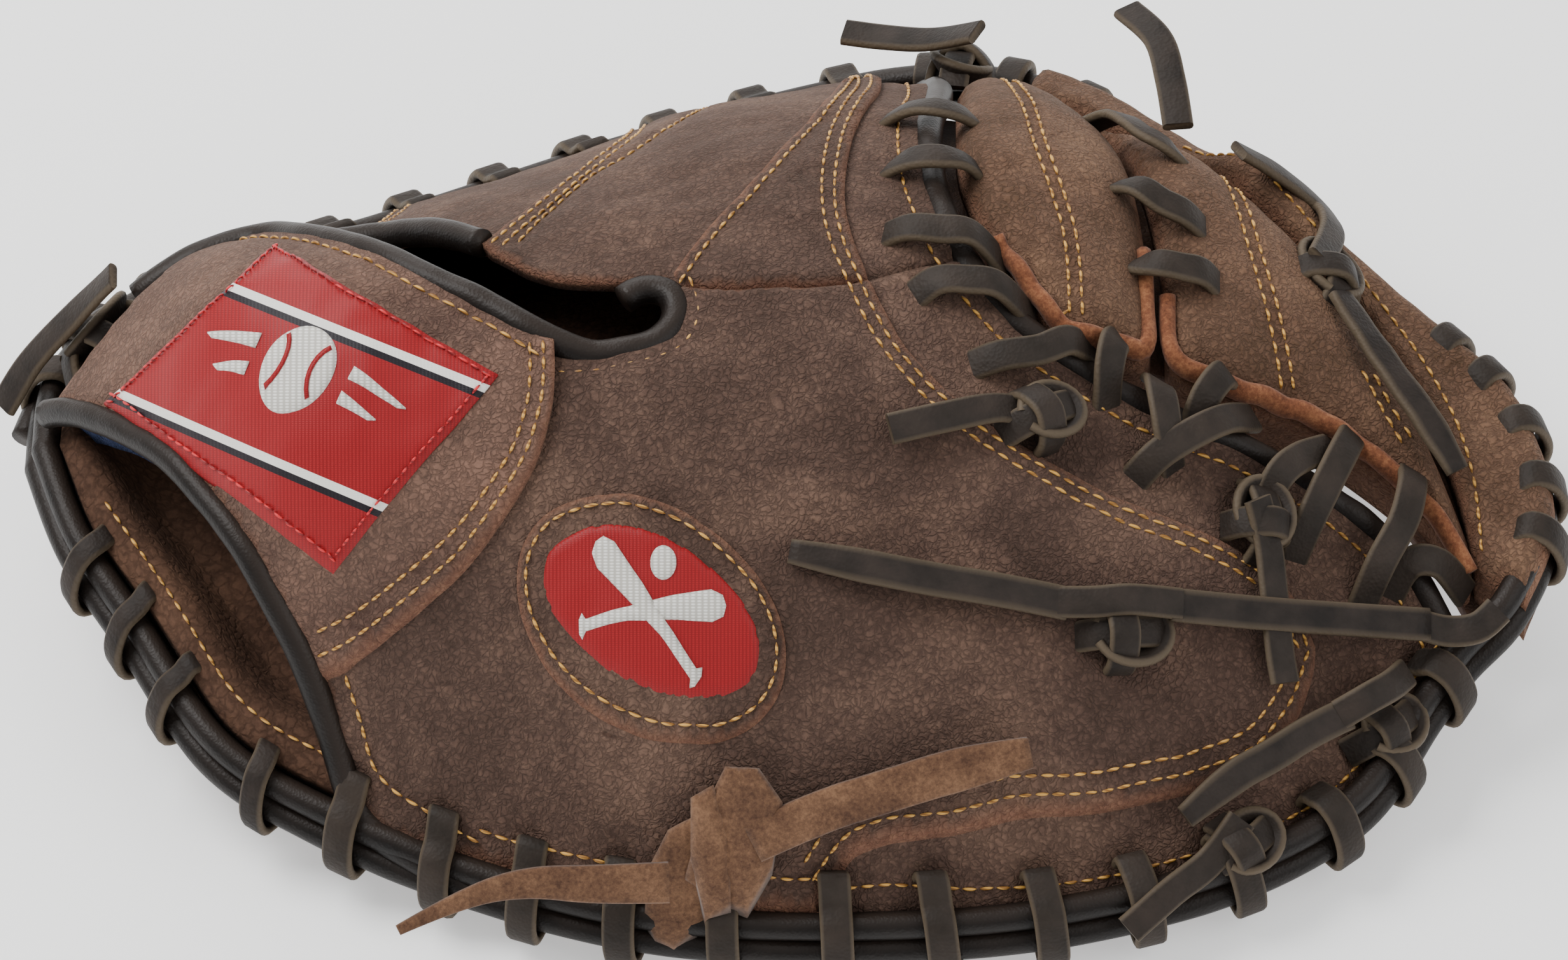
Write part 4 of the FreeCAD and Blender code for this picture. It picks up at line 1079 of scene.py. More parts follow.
def make_stitch(length: float = 2.5, radius: float = 0.42) -> bpy.types.Object:
    """One visible stitch: a short arched thread along +X, its ends sunk in the leather.

    Args:
        length: Its length.
        radius: Half its thickness.

    Returns:
        The small piece, hidden from view.
    """
    reach = np.linspace(-1, 1, 7)
    path = np.stack([reach * length / 2, 0 * reach, 0.45 * np.sqrt(np.maximum(1 - reach ** 2, 0)) - 0.12],
                    1)
    taper = np.sqrt(np.maximum(1.08 - reach ** 2, 0.08))
    points, faces, _ = Strand(path, np.array([0, 1, 0.0]), radius * 2, radius * 1.7, sides=6,
                              taper=taper).shell()
    stitch = mesh_object("stitch_pattern", points, faces, None)
    stitch.hide_render = True
    return stitch


# ---------------------------------------------------------------- sub-assemblies

@dataclass
class PalmFace:
    """The catching side: thick hide, the felt pad behind it and the suede lining of the hand space."""

    hide_mm: float = 3.2
    lining_mm: float = 1.6
    rim_inset: float = 1.5

    def outline(self, inset: float) -> Array:
        """The whole palm's outline, moved in from the rim."""
        return shrunk(loop(HEEL_RIM, THUMB_RIM, WEB_EDGE, FINGER_RIM[:], step=2.0), inset)

    def build(self, stock: Stock) -> None:
        """Makes the hide, the pad and the lining."""
        hide = Sheet(self.outline(self.rim_inset), palm(self.hide_mm), bottom=palm(0.0), spacing=2.4,
                     edge_drop=0.5).build("palm_hide", stock.palm)
        settle(hide, "palm", "palm_shell_finger", "palm_shell_thumb")
        pad = Sheet(self.outline(8.5), pad_top, bottom=palm(self.hide_mm + 0.3), spacing=3.0, edge_drop=1.5,
                    round_over=4.0).build("palm_padding", stock.inside)
        settle(pad, "felt", "palm_pad_finger", "palm_pad_thumb")
        lining = Sheet(self.outline(4.6), self.lining_top, thickness=self.lining_mm, spacing=2.0,
                       edge_drop=0.3).build("palm_lining", stock.inside)
        settle(lining, "liner", "palm_liner_finger", "palm_liner_thumb")

    @staticmethod
    def lining_top(x: Array, y: Array) -> Array:
        """The lining: it lies on the pad and climbs to the rolled edge at the heel.

        Args:
            x: Plan positions.
            y: Plan positions.

        Returns:
            Heights in millimetres.
        """
        spots = np.stack([x, y], 1)
        rim = curve([p[:2] for p in HEEL_RIM])
        near = np.clip(1 - distance_to(spots, rim) / 22.0, 0, 1)
        share = near * near * (3 - 2 * near)
        flat = pad_top(x, y) + 1.9
        return flat * (1 - share) + np.maximum(flat, BACK_FIELD(x, y) - 1.0) * share


@dataclass
class BackPanels:
    """The hide panels of the back, each lapped over or under its neighbour."""

    hide_mm: float = 2.6
    lap_mm: float = 9.0
    rim_inset: float = 3.2

    def rim(self, points: Sequence[tuple[float, ...]],
            inset: Optional[float] = None) -> list[tuple[float, float]]:
        """A stretch of the rim, moved in under its rolled edge."""
        moved = aside(np.array([p[:2] for p in points], float), self.rim_inset if inset is None else inset)
        return [tuple(p) for p in moved]

    def panel(self, name: str, outline: Array, material: bpy.types.Material, nodes: Sequence[str],
              depth: float = 0.0, raw: float = 1.0, puckers: Sequence[tuple[Array, float, float]] = (),
              drop: float = 0.9) -> bpy.types.Object:
        """One leather panel on the back, settled on its body.

        Args:
            name: The panel's name.
            outline: Its cut edge in plan.
            material: Its finish.
            nodes: The CAD nodes that it replaces.
            depth: How far it lies below the back's face.
            raw: How raw its cut edge shows.
            puckers: Seams pressed into it: run, depth and width of each.
            drop: How far its edge is rounded down.

        Returns:
            The panel.
        """
        made = Sheet(outline, back(depth), self.hide_mm, puckers=list(puckers), raw_edge=raw,
                     edge_drop=drop).build(name, material)
        return settle(made, "shell", *nodes)

    def build(self, stock: Stock) -> None:
        """Makes the thumb, crotch and finger panels."""
        holes = Lacing.holes()
        seams = {
            "overlay": (aside(curve(OVERLAY_TIP + OVERLAY_CROTCH[1:] + OVERLAY_FINGER[1:]), 3.2), 0.55,
                        2.2),
            "rim": (curve(self.rim(RIM[5:] + RIM[:6], 6.0)), 0.5, 1.8),
            "index": (aside(curve(SEAM_INDEX), -3.0), 0.55, 1.6),
            "join": (curve(SEAM_JOIN), 0.9, 1.1),
            "wrist": (aside(curve(WRIST_THUMB), 5.0), 0.5, 1.8),
            "ring": (aside(curve(SEAM_RING), -3.2), 0.6, 2.0),
            "middle": (curve(SEAM_MIDDLE), 0.8, 1.4),
            "pinky": (aside(curve(SEAM_PINKY), -3.2), 0.6, 2.0),
            "web": (aside(curve(WEB_EDGE), 6.0), 0.5, 1.8)}
        strap_under = [tuple(p) for p in aside(np.array(STRAP_SEAM, float), -6.0)]
        thumb = loop(list(reversed(strap_under)), [strap_under[0], (-48, 1)], SLOT_TURN, SEAM_JOIN,
                     list(reversed(OVERLAY_CROTCH)), list(reversed(OVERLAY_TIP)),
                     [OVERLAY_TIP[0]] + list(reversed(self.rim(THUMB_RIM[:3]))),
                     [self.rim(THUMB_RIM[:3])[0], (-99, -48), (-104, -40), (-105, -32), strap_under[-1]])
        self.panel("thumb_back", thumb, stock.hide, ["thumb_back_panel"],
                   puckers=[seams[k] for k in ("overlay", "rim", "wrist", "join")] + holes)
        tip_under = [tuple(p) for p in aside(np.array(OVERLAY_TIP + OVERLAY_CROTCH[1:], float),
                                             self.lap_mm)]
        tip_under[-1] = (7, 0)
        thumb_low = loop([(-31, -86)] + tip_under[2:], [tip_under[-1], (37, 2)],
                         list(reversed(WEB_EDGE[:8])),
                         list(reversed(self.rim(THUMB_RIM[2:]))) + [(-31, -92)], [(-31, -92), (-31, -86)])
        self.panel("thumb_rim_hide", thumb_low, stock.hide, ["thumb_rim_panel"], depth=2.0, raw=0.0,
                   puckers=[seams["rim"], seams["web"]] + holes)
        finger_under = [tuple(p) for p in aside(np.array(OVERLAY_FINGER, float), self.lap_mm)]
        crotch = loop([(7, 0), (37, 2)],
                      WEB_EDGE[7:-1] + self.rim([WEB_RIM[-2], FINGER_RIM[0], FINGER_RIM[1]])[1:2],
                      [self.rim([WEB_RIM[-2], FINGER_RIM[0], FINGER_RIM[1]])[1], finger_under[-1]],
                      list(reversed([(7, 0)] + finger_under[1:])))
        self.panel("crotch_hide", crotch, stock.hide, ["finger_crotch_panel"], depth=2.0, raw=0.0,
                   puckers=[seams["web"], seams["rim"]])
        index = loop(SEAM_JOIN, OVERLAY_FINGER[:-1] + [(55, 102)], [(55, 102), (47, 103)],
                     list(reversed(SEAM_INDEX[:-1] + [(47, 103)])))
        self.panel("index_hide", index, stock.hide, ["finger_panel_index"],
                   puckers=[seams["overlay"], seams["index"], seams["join"]])
        index_lap = [tuple(p) for p in aside(np.array(SEAM_INDEX, float), -4.0)]
        middle = loop(index_lap[:-1] + [(46, 104)], [(46, 104), (26, 106), (4, 106)],
                      list(reversed(SEAM_RING[:-1] + [(4, 106)])), list(reversed(SLOT_FINGER[:4])),
                      [SLOT_FINGER[0], index_lap[0]])
        self.panel("middle_hide", middle, stock.hide, ["finger_panel_middle"], depth=0.9,
                   puckers=[seams["ring"], seams["middle"], seams["rim"]])
        ring_lap = [tuple(p) for p in aside(np.array(SEAM_RING, float), -4.0)]
        ring = loop(ring_lap[:-1] + [(3, 106)], [(3, 106), (-22, 103), (-48, 100)],
                    list(reversed(SEAM_PINKY[:-1] + [(-48, 100)])), list(reversed(SLOT_FINGER[3:6])),
                    [SLOT_FINGER[3], ring_lap[0]])
        self.panel("ring_hide", ring, stock.hide, ["finger_panel_ring"], depth=1.8,
                   puckers=[seams["pinky"], seams["rim"]])
        pinky_lap = [tuple(p) for p in aside(np.array(SEAM_PINKY, float), -4.0)]
        pinky = loop(pinky_lap[:-1] + [(-49, 100)], [(-49, 100)] + self.rim(FINGER_RIM[3:7])[1:],
                     [self.rim(FINGER_RIM[3:7])[-1], SLOT_FINGER[-1]], list(reversed(SLOT_FINGER[5:])),
                     [SLOT_FINGER[5], pinky_lap[0]])
        self.panel("pinky_hide", pinky, stock.hide, ["finger_panel_pinky"], depth=2.7,
                   puckers=[seams["rim"]])


@dataclass
class WristStrap:
    """The padded strap over the back of the wrist, with its fleece and its woven label."""

    hide_mm: float = 2.6
    fleece_mm: float = 5.0

    def outline(self, inset: float = 0.0) -> Array:
        """The strap's outline."""
        whole = loop(list(reversed(STRAP_SEAM)), list(reversed(STRAP_SLOT)), list(reversed(STRAP_END)),
                     list(reversed(STRAP_WRIST)))
        return shrunk(whole, inset) if inset else whole

    def build(self, stock: Stock) -> None:
        """Makes the strap, the fleece and the label."""
        puckers = [(aside(curve(STRAP_SEAM), -3.4), 0.6, 2.4), (aside(curve(STRAP_SLOT), -4.4), 0.5, 1.8)]
        hide = Sheet(self.outline(), strap(), self.hide_mm, raw_edge=1.0, puckers=puckers,
                     edge_drop=0.9).build("wrist_strap_hide", stock.strap_hide)
        settle(hide, "shell", "wrist_strap")
        fleece = Sheet(self.outline(2.5), strap(self.hide_mm + 0.2), self.fleece_mm, spacing=2.0,
                       round_over=3.0,
                       edge_drop=1.4).build("strap_fleece_pile", stock.fleece)
        settle(fleece, "fleece", "strap_fleece")
        Label().build(stock)


@dataclass
class Label:
    """A woven satin label: red ground, white and black stripes, and a plain stitched ball."""

    rise: float = 0.9

    def patch(self, name: str, outline: Array, lift: float, material: bpy.types.Material,
              nodes: Sequence[str] = (), drop: float = 0.4) -> bpy.types.Object:
        """One flat woven or embroidered shape on the strap, with its own thread map."""
        top = strap()
        made = Sheet(outline, lambda x, y: top(x, y) + lift, self.rise, spacing=1.3, edge_drop=drop,
                     round_over=0.7).build(name, material)
        thread_map(made)
        return settle(made, "patch", *nodes)

    def build(self, stock: Stock) -> None:
        """Makes the striped ground and the embroidered ball."""
        self.patch("strap_label_satin", loop(*LABEL_SIDES), self.rise, stock.label, ["strap_label"])
        Emblem((-96.0, 13.0), LABEL_RUN).ball(stock, self, self.rise + 0.55)


@dataclass
class Emblem:
    """Plain embroidered baseball shapes that stand for no maker."""

    centre: tuple[float, float]
    run: Sequence[tuple[float, float]]

    def axes(self) -> tuple[Array, Array]:
        """Directions along and up the patch."""
        left, right = [np.array(p, float) for p in self.run]
        along = (right - left) / np.linalg.norm(right - left)
        return along, np.array([-along[1], along[0]])

    def plan(self, shape: Sequence[tuple[float, float]]) -> Array:
        """A shape drawn about the centre in millimetres, put into the plan."""
        along, up = self.axes()
        flat = np.array(shape, float)
        return np.array(self.centre) + flat[:, :1] * along + flat[:, 1:] * up

    @staticmethod
    def ring(radius: float, wide: float, start: float, end: float,
             step: float = 12) -> list[tuple[float, float]]:
        """A bent strip between two radii and two angles in degrees.

        Args:
            radius: The outer radius.
            wide: Distance between the radii.
            start: The first angle.
            end: The last angle.
            step: Degrees between points.

        Returns:
            The outline.
        """
        count = max(int(abs(end - start) / step), 2)
        angles = np.radians(np.linspace(start, end, count + 1))
        outer = [(radius * math.cos(a), radius * math.sin(a)) for a in angles]
        inner = [((radius - wide) * math.cos(a), (radius - wide) * math.sin(a)) for a in reversed(angles)]
        return outer + inner

    def ball(self, stock: Stock, label: Label, lift: float) -> None:
        """The label's mark: a white ball with two red seams, between two pairs of tapering white bars.

        Args:
            stock: The finishes.
            label: The label it lies on.
            lift: Height over the strap's face.
        """
        disc = [(7.6 * math.cos(a), 7.6 * math.sin(a)) for a in np.linspace(0, 2 * math.pi, 40,
                                                                            endpoint=False)]
        label.patch("label_ball", dense(self.plan(disc)), lift + 0.1, stock.white, drop=0.4)
        for name, x0, sign in (("left", -10.0, 1), ("right", 10.0, -1)):
            arc = [(x0 + sign * (p[0]), p[1]) for p in self.ring(7.4, 0.9, -42, 42)]
            arc = arc if sign > 0 else arc[::-1]
            label.patch(f"label_ball_seam_{name}", dense(self.plan(arc)), lift + 0.5, stock.satin, drop=0.1)
        bars = [("a", 10.5, 21.0, 2.6, 2.4), ("b", 10.5, 17.0, -2.0, 2.0)]
        for name, near, far, rise, wide in bars:
            for side, sign in (("left", -1), ("right", 1)):
                bar = [(near, rise - wide / 2), (far, rise - 0.5), (far + 1.5, rise + 0.3),
                       (near, rise + wide / 2)]
                bar = [(sign * x, y) for x, y in bar]
                bar = bar if sign > 0 else bar[::-1]
                label.patch(f"label_bar_{name}_{side}", dense(self.plan(bar)), lift, stock.white, drop=0.1)


def dense(outline: Array, step: float = 0.9) -> Array:
    """A closed outline with points no further apart than a step.

    Args:
        outline: The closed outline.
        step: The largest distance.

    Returns:
        The outline with more points.
    """
    points = []
    for a, b in zip(outline, np.roll(outline, -1, axis=0)):
        count = max(int(np.linalg.norm(b - a) / step), 1)
        points += [a + (b - a) * k / count for k in range(count)]
    return np.array(points)


def thread_map(piece: bpy.types.Object) -> None:
    """Gives a patch a UV map in millimetres along its wefts and its warps.

    Args:
        piece: The patch.
    """
    mesh = piece.data
    points = np.array([v.co for v in mesh.vertices]) / MM
    flat = np.stack([points @ np.array(THREAD_RIGHT), points @ np.array(THREAD_UP)], 1)
    layer = mesh.uv_layers.new(name="thread")
    corners = np.array([c.vertex_index for c in mesh.loops])
    layer.data.foreach_set("uv", flat[corners].astype(np.float32).ravel())


@dataclass
class OvalPatch:
    """The oval thumb patch: red satin on a raw leather ring, with crossed bats and a ball."""

    long_mm: float = 23.0
    short_mm: float = 11.2
    ring_mm: float = 3.0
    rise: float = 1.0

    def oval(self, grow: float, count: int = 90) -> Array:
        """The patch's outline, grown by some millimetres.

        Args:
            grow: Distance outwards.
            count: How many points.

        Returns:
            The outline in plan.
        """
        turn = math.radians(OVAL_TURN)
        angle = np.linspace(0, 2 * np.pi, count, endpoint=False)
        u, v = (self.long_mm + grow) * np.cos(angle), (self.short_mm + grow) * np.sin(angle)
        return np.stack([OVAL_CENTRE[0] + u * math.cos(turn) - v * math.sin(turn),
                         OVAL_CENTRE[1] + u * math.sin(turn) + v * math.cos(turn)], 1)

    def patch(self, name: str, outline: Array, lift: float, thick: float, material: bpy.types.Material,
              nodes: Sequence[str] = (), drop: float = 0.4, raw: float = 0.0, reach: float = 0.8) -> None:
        """One shape of the patch, laid on the back."""
        top = back()
        made = Sheet(outline, lambda x, y: top(x, y) + lift, thick, spacing=1.2, edge_drop=drop,
                     round_over=reach, raw_edge=raw).build(name, material)
        thread_map(made)
        settle(made, "patch", *nodes)

    def build(self, stock: Stock) -> None:
        """Makes the leather ring, the satin and the crossed bats."""
        self.patch("oval_leather_ring", self.oval(self.ring_mm + 1.2), self.rise, 1.3, stock.hide,
                   ["oval_patch_ring"], raw=1.0)
        self.patch("oval_satin", self.oval(-0.6), self.rise + 0.7, 0.9, stock.satin, ["oval_patch"],
                   drop=0.8,
                   reach=1.6)
        turn = math.radians(OVAL_TURN)
        along, up = np.array([math.cos(turn), math.sin(turn)]), np.array([-math.sin(turn), math.cos(turn)])
        bat = [(-13.5, -0.9), (-12.9, -1.7), (-12.2, -0.8), (-4, -0.9), (4, -1.7), (12, -2.3),
               (14.2, -1.5), (14.8, 0), (14.2, 1.5), (12, 2.3), (4, 1.7), (-4, 0.9), (-12.2, 0.8),
               (-12.9, 1.7), (-13.5, 0.9)]
        for name, tilt, lift in (("a", 24, 1.35), ("b", 156, 1.7)):
            c, s = math.cos(math.radians(tilt)), math.sin(math.radians(tilt))
            flat = np.array([(x * c - y * s, x * s + y * c - 1.0) for x, y in bat])
            outline = np.array(OVAL_CENTRE) + flat[:, :1] * along + flat[:, 1:] * up
            self.patch(f"oval_bat_{name}", dense(outline), self.rise + lift, 0.6, stock.white, drop=0.3)
        disc = [(2.5 * math.cos(a), 2.5 * math.sin(a) + 6.3) for a in np.linspace(0, 2 * math.pi, 24,
                                                                                  endpoint=False)]
        flat = np.array(disc)
        self.patch("oval_ball", dense(np.array(OVAL_CENTRE) + flat[:, :1] * along + flat[:, 1:] * up),
                   self.rise + 1.5, 0.6, stock.white, drop=0.3)


@dataclass
class Web:
    """The closed web: two padded leather tubes side by side, a floor panel and a rim panel."""

    tube_bulge: float = 4.2
    floor_depth: float = 9.3
    hide_mm: float = 2.6

    def build(self, stock: Stock) -> None:
        """Makes the tubes and panels of the web."""
        rim = [tuple(p) for p in aside(np.array([q[:2] for q in WEB_RIM], float), 3)]
        floor = loop([rim[-1]] + self.FLOOR_EDGE, [self.FLOOR_EDGE[-1], rim[1]], rim[1:])
        made = Sheet(floor, back(self.floor_depth), self.hide_mm, raw_edge=0.4).build("web_floor_hide",
                                                                                      stock.palm)
        settle(made, "shell", "web_palm_panel_finger", "web_palm_panel_thumb")
        for name, outline, seams in (
                ("a", TUBE_A, [(curve(self.SEAM_A), 0.9, 1.8)]),
                ("b", TUBE_B, [(curve(self.SEAM_B), 0.9, 1.8), (curve(self.SEAM_B_FOOT), 0.7, 1.6)])):
            closed = dense(curve(list(outline) + [outline[0]], 1.2)[:-1], 1.2)
            made = Sheet(closed, back(0.0), 9.0, round_over=9.0, edge_drop=4.6, bulge=self.tube_bulge,
                         bulge_reach=7.0, puckers=seams,
                         raw_edge=0.85).build("web_tube_" + name, stock.web_hide)
            settle(made, "shell", f"web_tube_{name}_finger", f"web_tube_{name}_thumb")
        for name, foot in (("a", TUBE_A[3:10]), ("b", TUBE_B[5:13])):
            lip = aside(curve(foot), 0.6)
            wave = 0.7 * ripple(lip[:, 0], lip[:, 1], 9.0, 8)
            line = on(back(1.4), lip) + np.outer(wave, (0, 0, 1.0))
            fold = Strand(line, np.array([0.1, 0.2, 1.0]), 4.6, 3.4, sides=10).build("web_tube_lip_" + name,
                                                                                     stock.raw)
            settle(fold, "shell")
        rim = [tuple(p) for p in aside(np.array([q[:2] for q in WEB_RIM[1:9]], float), -1.8)]
        inner = [(119, -66), (122, -49), (122, -28), (116, -2), (106, 24), (97, 44), (86, 62), (78, 78)]
        panel = loop(rim, [rim[-1], inner[-1]], list(reversed(inner)), [inner[0], rim[0]])
        made = Sheet(panel, self.over_roll, 9.0, raw_edge=0.8, round_over=4.5,
                     edge_drop=4.2).build("web_rim_hide", stock.web_hide)
        settle(made, "shell", "web_rim_panel_finger", "web_rim_panel_thumb")

    @staticmethod
    def over_roll(x: Array, y: Array) -> Array:
        """The rim panel's outer face: it swells over the hidden roll.

        Args:
            x: Plan positions.
            y: Plan positions.

        Returns:
            Heights in millimetres.
        """
        near = distance_to(np.stack([x, y], 1), curve([p[:2] for p in WEB_RIM]))
        return back(-1.2)(x, y) + 5.6 * np.exp(-(near / 6.5) ** 2)

    FLOOR_EDGE = [(61, 85), (50, 66), (44, 44), (41, 26), (40, 8), (44, -8), (54, -14), (66, -17),
                  (76, -20), (88, -24), (98, -29), (106, -38), (112, -52), (118, -70)]
    SEAM_A = [(70, 66), (66, 44), (62, 26), (59, 3), (54, -14)]
    SEAM_B = [(104, 36), (101, 23), (97, 0), (95, -16), (93, -29)]
    SEAM_B_FOOT = [(111, -26), (112, -34), (114, -41)]


@dataclass
class Edges:
    """The rolled rim and the bound edges, all of thin dark leather."""

    roll_mm: float = 5.6
    bind_mm: float = 5.8

    def tube(self, name: str, path: Array, diameter: float, stock: Stock, slot: str, nodes: Sequence[str],
             closed: bool = False, seed: int = 1) -> None:
        """One bound edge as a slightly uneven tube.

        Args:
            name: The edge's name.
            path: Its centre line.
            diameter: Its diameter.
            stock: The finishes.
            slot: Its material slot.
            nodes: The CAD nodes that it replaces.
            closed: Whether it meets itself.
            seed: Picks its unevenness.
        """
        reach = np.linspace(0, 40 * np.pi * len(path) / 600, len(path))
        swell = 1 + 0.035 * np.sin(reach * 1.7 + seed) + 0.02 * np.sin(reach * 4.1 + 2 * seed)
        made = Strand(path, np.array([0.03, 0.02, 1.0]), diameter, diameter, sides=16, closed=closed,
                      taper=swell).build(name, stock.binding)
        settle(made, slot, *nodes)

    def build(self, stock: Stock) -> None:
        """Makes both rim rolls and the four bindings."""
        ring = curve(RIM + RIM[:1], 2.0)[:-1]
        for name, across, up in (("back_roll", 1.7, 2.2), ("palm_roll", 0.1, -3.1)):
            path = aside_closed(ring, across)
            path[:, 2] += up
            self.tube(name + "_leather", path, self.roll_mm, stock, "binding",
                      [name + "_thumb", name + "_finger"],
                      True)
        lift = -self.bind_mm / 2 + 0.9
        wrist = np.vstack([on(strap(), curve(list(reversed(STRAP_WRIST))), lift)[:-3],
                           on(back(), curve(WRIST_THUMB), lift)[3:]])
        wrist = smoothed(wrist, 5)
        self.tube("wrist_binding", wrist, self.bind_mm, stock, "binding",
                  ["binding_wrist_finger", "binding_wrist_thumb"], seed=2)
        slot = np.vstack([on(strap(), curve([(-112, 66)] + STRAP_SLOT), lift)[:-4],
                          on(back(), curve(SLOT_TURN[:-1] + [(-22, 7), (-27, 10), (-31, 9)]), lift)[4:]])
        self.tube("slot_binding", smoothed(slot, 5), self.bind_mm, stock, "binding", ["binding_slot_strap"],
                  seed=3)
        finger = on(back(1.0), curve(SLOT_FINGER[3:] + [(-137, 66)]), lift + 1.0)
        self.tube("finger_slot_binding", finger, self.bind_mm, stock, "binding", ["binding_slot_finger"],
                  seed=4)
        web = on(back(2.9), curve(WEB_EDGE), lift + 1.2)
        self.tube("web_edge_binding", web, self.bind_mm, stock, "binding",
                  ["binding_web_finger", "binding_web_thumb"], seed=5)


def aside_closed(ring: Array, offset: float) -> Array:
    """A closed run of points moved to its left.

    Args:
        ring: The closed run.
        offset: Distance to the left of travel.

    Returns:
        The moved run.
    """
    ahead = np.roll(ring, -1, axis=0) - np.roll(ring, 1, axis=0)
    ahead /= np.linalg.norm(ahead[:, :2], axis=1)[:, None]
    moved = ring.copy()
    moved[:, 0] -= ahead[:, 1] * offset
    moved[:, 1] += ahead[:, 0] * offset
    return moved


def smoothed(path: Array, rounds: int) -> Array:
    """A run of points with its inner points eased towards their neighbours.

    Args:
        path: The run of points.
        rounds: How often it is eased.

    Returns:
        The eased run.
    """
    path = path.copy()
    for _ in range(rounds):
        path[1:-1] = (path[:-2] + 2 * path[1:-1] + path[2:]) / 4
    return path


class LaceSweep:
    """Geometry Nodes that turn lace centre lines into flat laces with rounded edges."""

    def __init__(self) -> None:
        """Builds the tree with its named inputs."""
        tree = bpy.data.node_groups.new("flat_laces", "GeometryNodeTree")
        self.tree = tree
        self.ids: dict[str, str] = {}
        for label, kind in (("Geometry", "NodeSocketGeometry"), ("Width", "NodeSocketFloat"),
                            ("Thickness", "NodeSocketFloat"), ("Finish", "NodeSocketMaterial")):
            self.ids[label] = tree.interface.new_socket(label, in_out="INPUT", socket_type=kind).identifier
        tree.interface.new_socket("Geometry", in_out="OUTPUT", socket_type="NodeSocketGeometry")
        given = add_node(tree, "NodeGroupInput").outputs
        lines = add_node(tree, "GeometryNodeMeshToCurve", links={"Mesh": given["Geometry"]})
        across = add_node(tree, "GeometryNodeInputNamedAttribute", {"data_type": "FLOAT_VECTOR"},
                          {"Name": "across"})
        facing = add_node(tree, "GeometryNodeSetCurveNormal", {"mode": "FREE"},
                          links={"Curve": lines.outputs[0], "Normal": across.outputs["Attribute"]})
        flat = add_node(tree, "GeometryNodeCurvePrimitiveQuadrilateral",
                        links={"Width": given["Width"], "Height": given["Thickness"]})
        corner = add_node(tree, "ShaderNodeMath", {"operation": "MULTIPLY"}, {1: 0.42},
                          {0: given["Thickness"]})
        soft = add_node(tree, "GeometryNodeFilletCurve", {"mode": "POLY"}, {"Count": 2},
                        {"Curve": flat.outputs[0], "Radius": corner.outputs[0]})
        spot = add_node(tree, "GeometryNodeInputPosition")
        apart = add_node(tree, "ShaderNodeSeparateXYZ", links={"Vector": spot.outputs[0]})
        away = add_node(tree, "ShaderNodeMath", {"operation": "ABSOLUTE"}, links={0: apart.outputs["X"]})
        share = add_node(tree, "ShaderNodeMath", {"operation": "DIVIDE"}, links={0: away.outputs[0],
                                                                               1: given["Width"]})
        rubbed = add_node(tree, "ShaderNodeMapRange", values={"From Min": 0.36, "From Max": 0.5},
                          links={"Value": share.outputs[0]})
        marked = add_node(tree, "GeometryNodeStoreNamedAttribute",
                          {"data_type": "FLOAT", "domain": "POINT"},
                          {"Name": "wear"}, {"Geometry": soft.outputs[0], "Value": rubbed.outputs[0]})
        swept = add_node(tree, "GeometryNodeCurveToMesh", values={"Fill Caps": True},
                         links={"Curve": facing.outputs[0], "Profile Curve": marked.outputs[0]})
        shade = add_node(tree, "GeometryNodeSetShadeSmooth", links={"Geometry": swept.outputs[0]})
        real = add_node(tree, "GeometryNodeRealizeInstances", links={"Geometry": shade.outputs[0]})
        done = add_node(tree, "GeometryNodeSetMaterial", links={"Geometry": real.outputs[0],
                                                                "Material": given["Finish"]})
        add_node(tree, "NodeGroupOutput", links={"Geometry": done.outputs[0]})

    def lay(self, name: str, laces: Sequence[tuple[Array, Array]], width: float, thickness: float,
            finish: bpy.types.Material) -> bpy.types.Object:
        """Sweeps laces along their centre lines.

        Args:
            name: The result's name.
            laces: Centre line and width direction of each lace.
            width: Lace width in millimetres.
            thickness: Lace thickness in millimetres.
            finish: Its material.

        Returns:
            One plain mesh of all the laces.
        """
        points = np.vstack([line for line, _ in laces])
        sides = np.vstack([np.broadcast_to(side, line.shape) for line, side in laces])
        edges, base = [], 0
        for line, _ in laces:
            edges += [(base + k, base + k + 1) for k in range(len(line) - 1)]
            base += len(line)
        lines = bpy.data.meshes.new(name + "_lines")
        lines.from_pydata((points * MM).tolist(), edges, [])
        lines.attributes.new("across", "FLOAT_VECTOR", "POINT").data.foreach_set("vector", sides.ravel())
        holder = bpy.data.objects.new(name, lines)
        bpy.context.scene.collection.objects.link(holder)
        sweep = holder.modifiers.new("sweep", "NODES")
        sweep.node_group = self.tree
        for label, value in (("Width", width * MM), ("Thickness", thickness * MM), ("Finish", finish)):
            sweep[self.ids[label]] = value
        made = bpy.data.meshes.new_from_object(holder.evaluated_get(bpy.context.evaluated_depsgraph_get()))
        holder.modifiers.clear()
        holder.data = made
        made.name = name
        if "across" in made.attributes:
            made.attributes.remove(made.attributes["across"])
        return holder


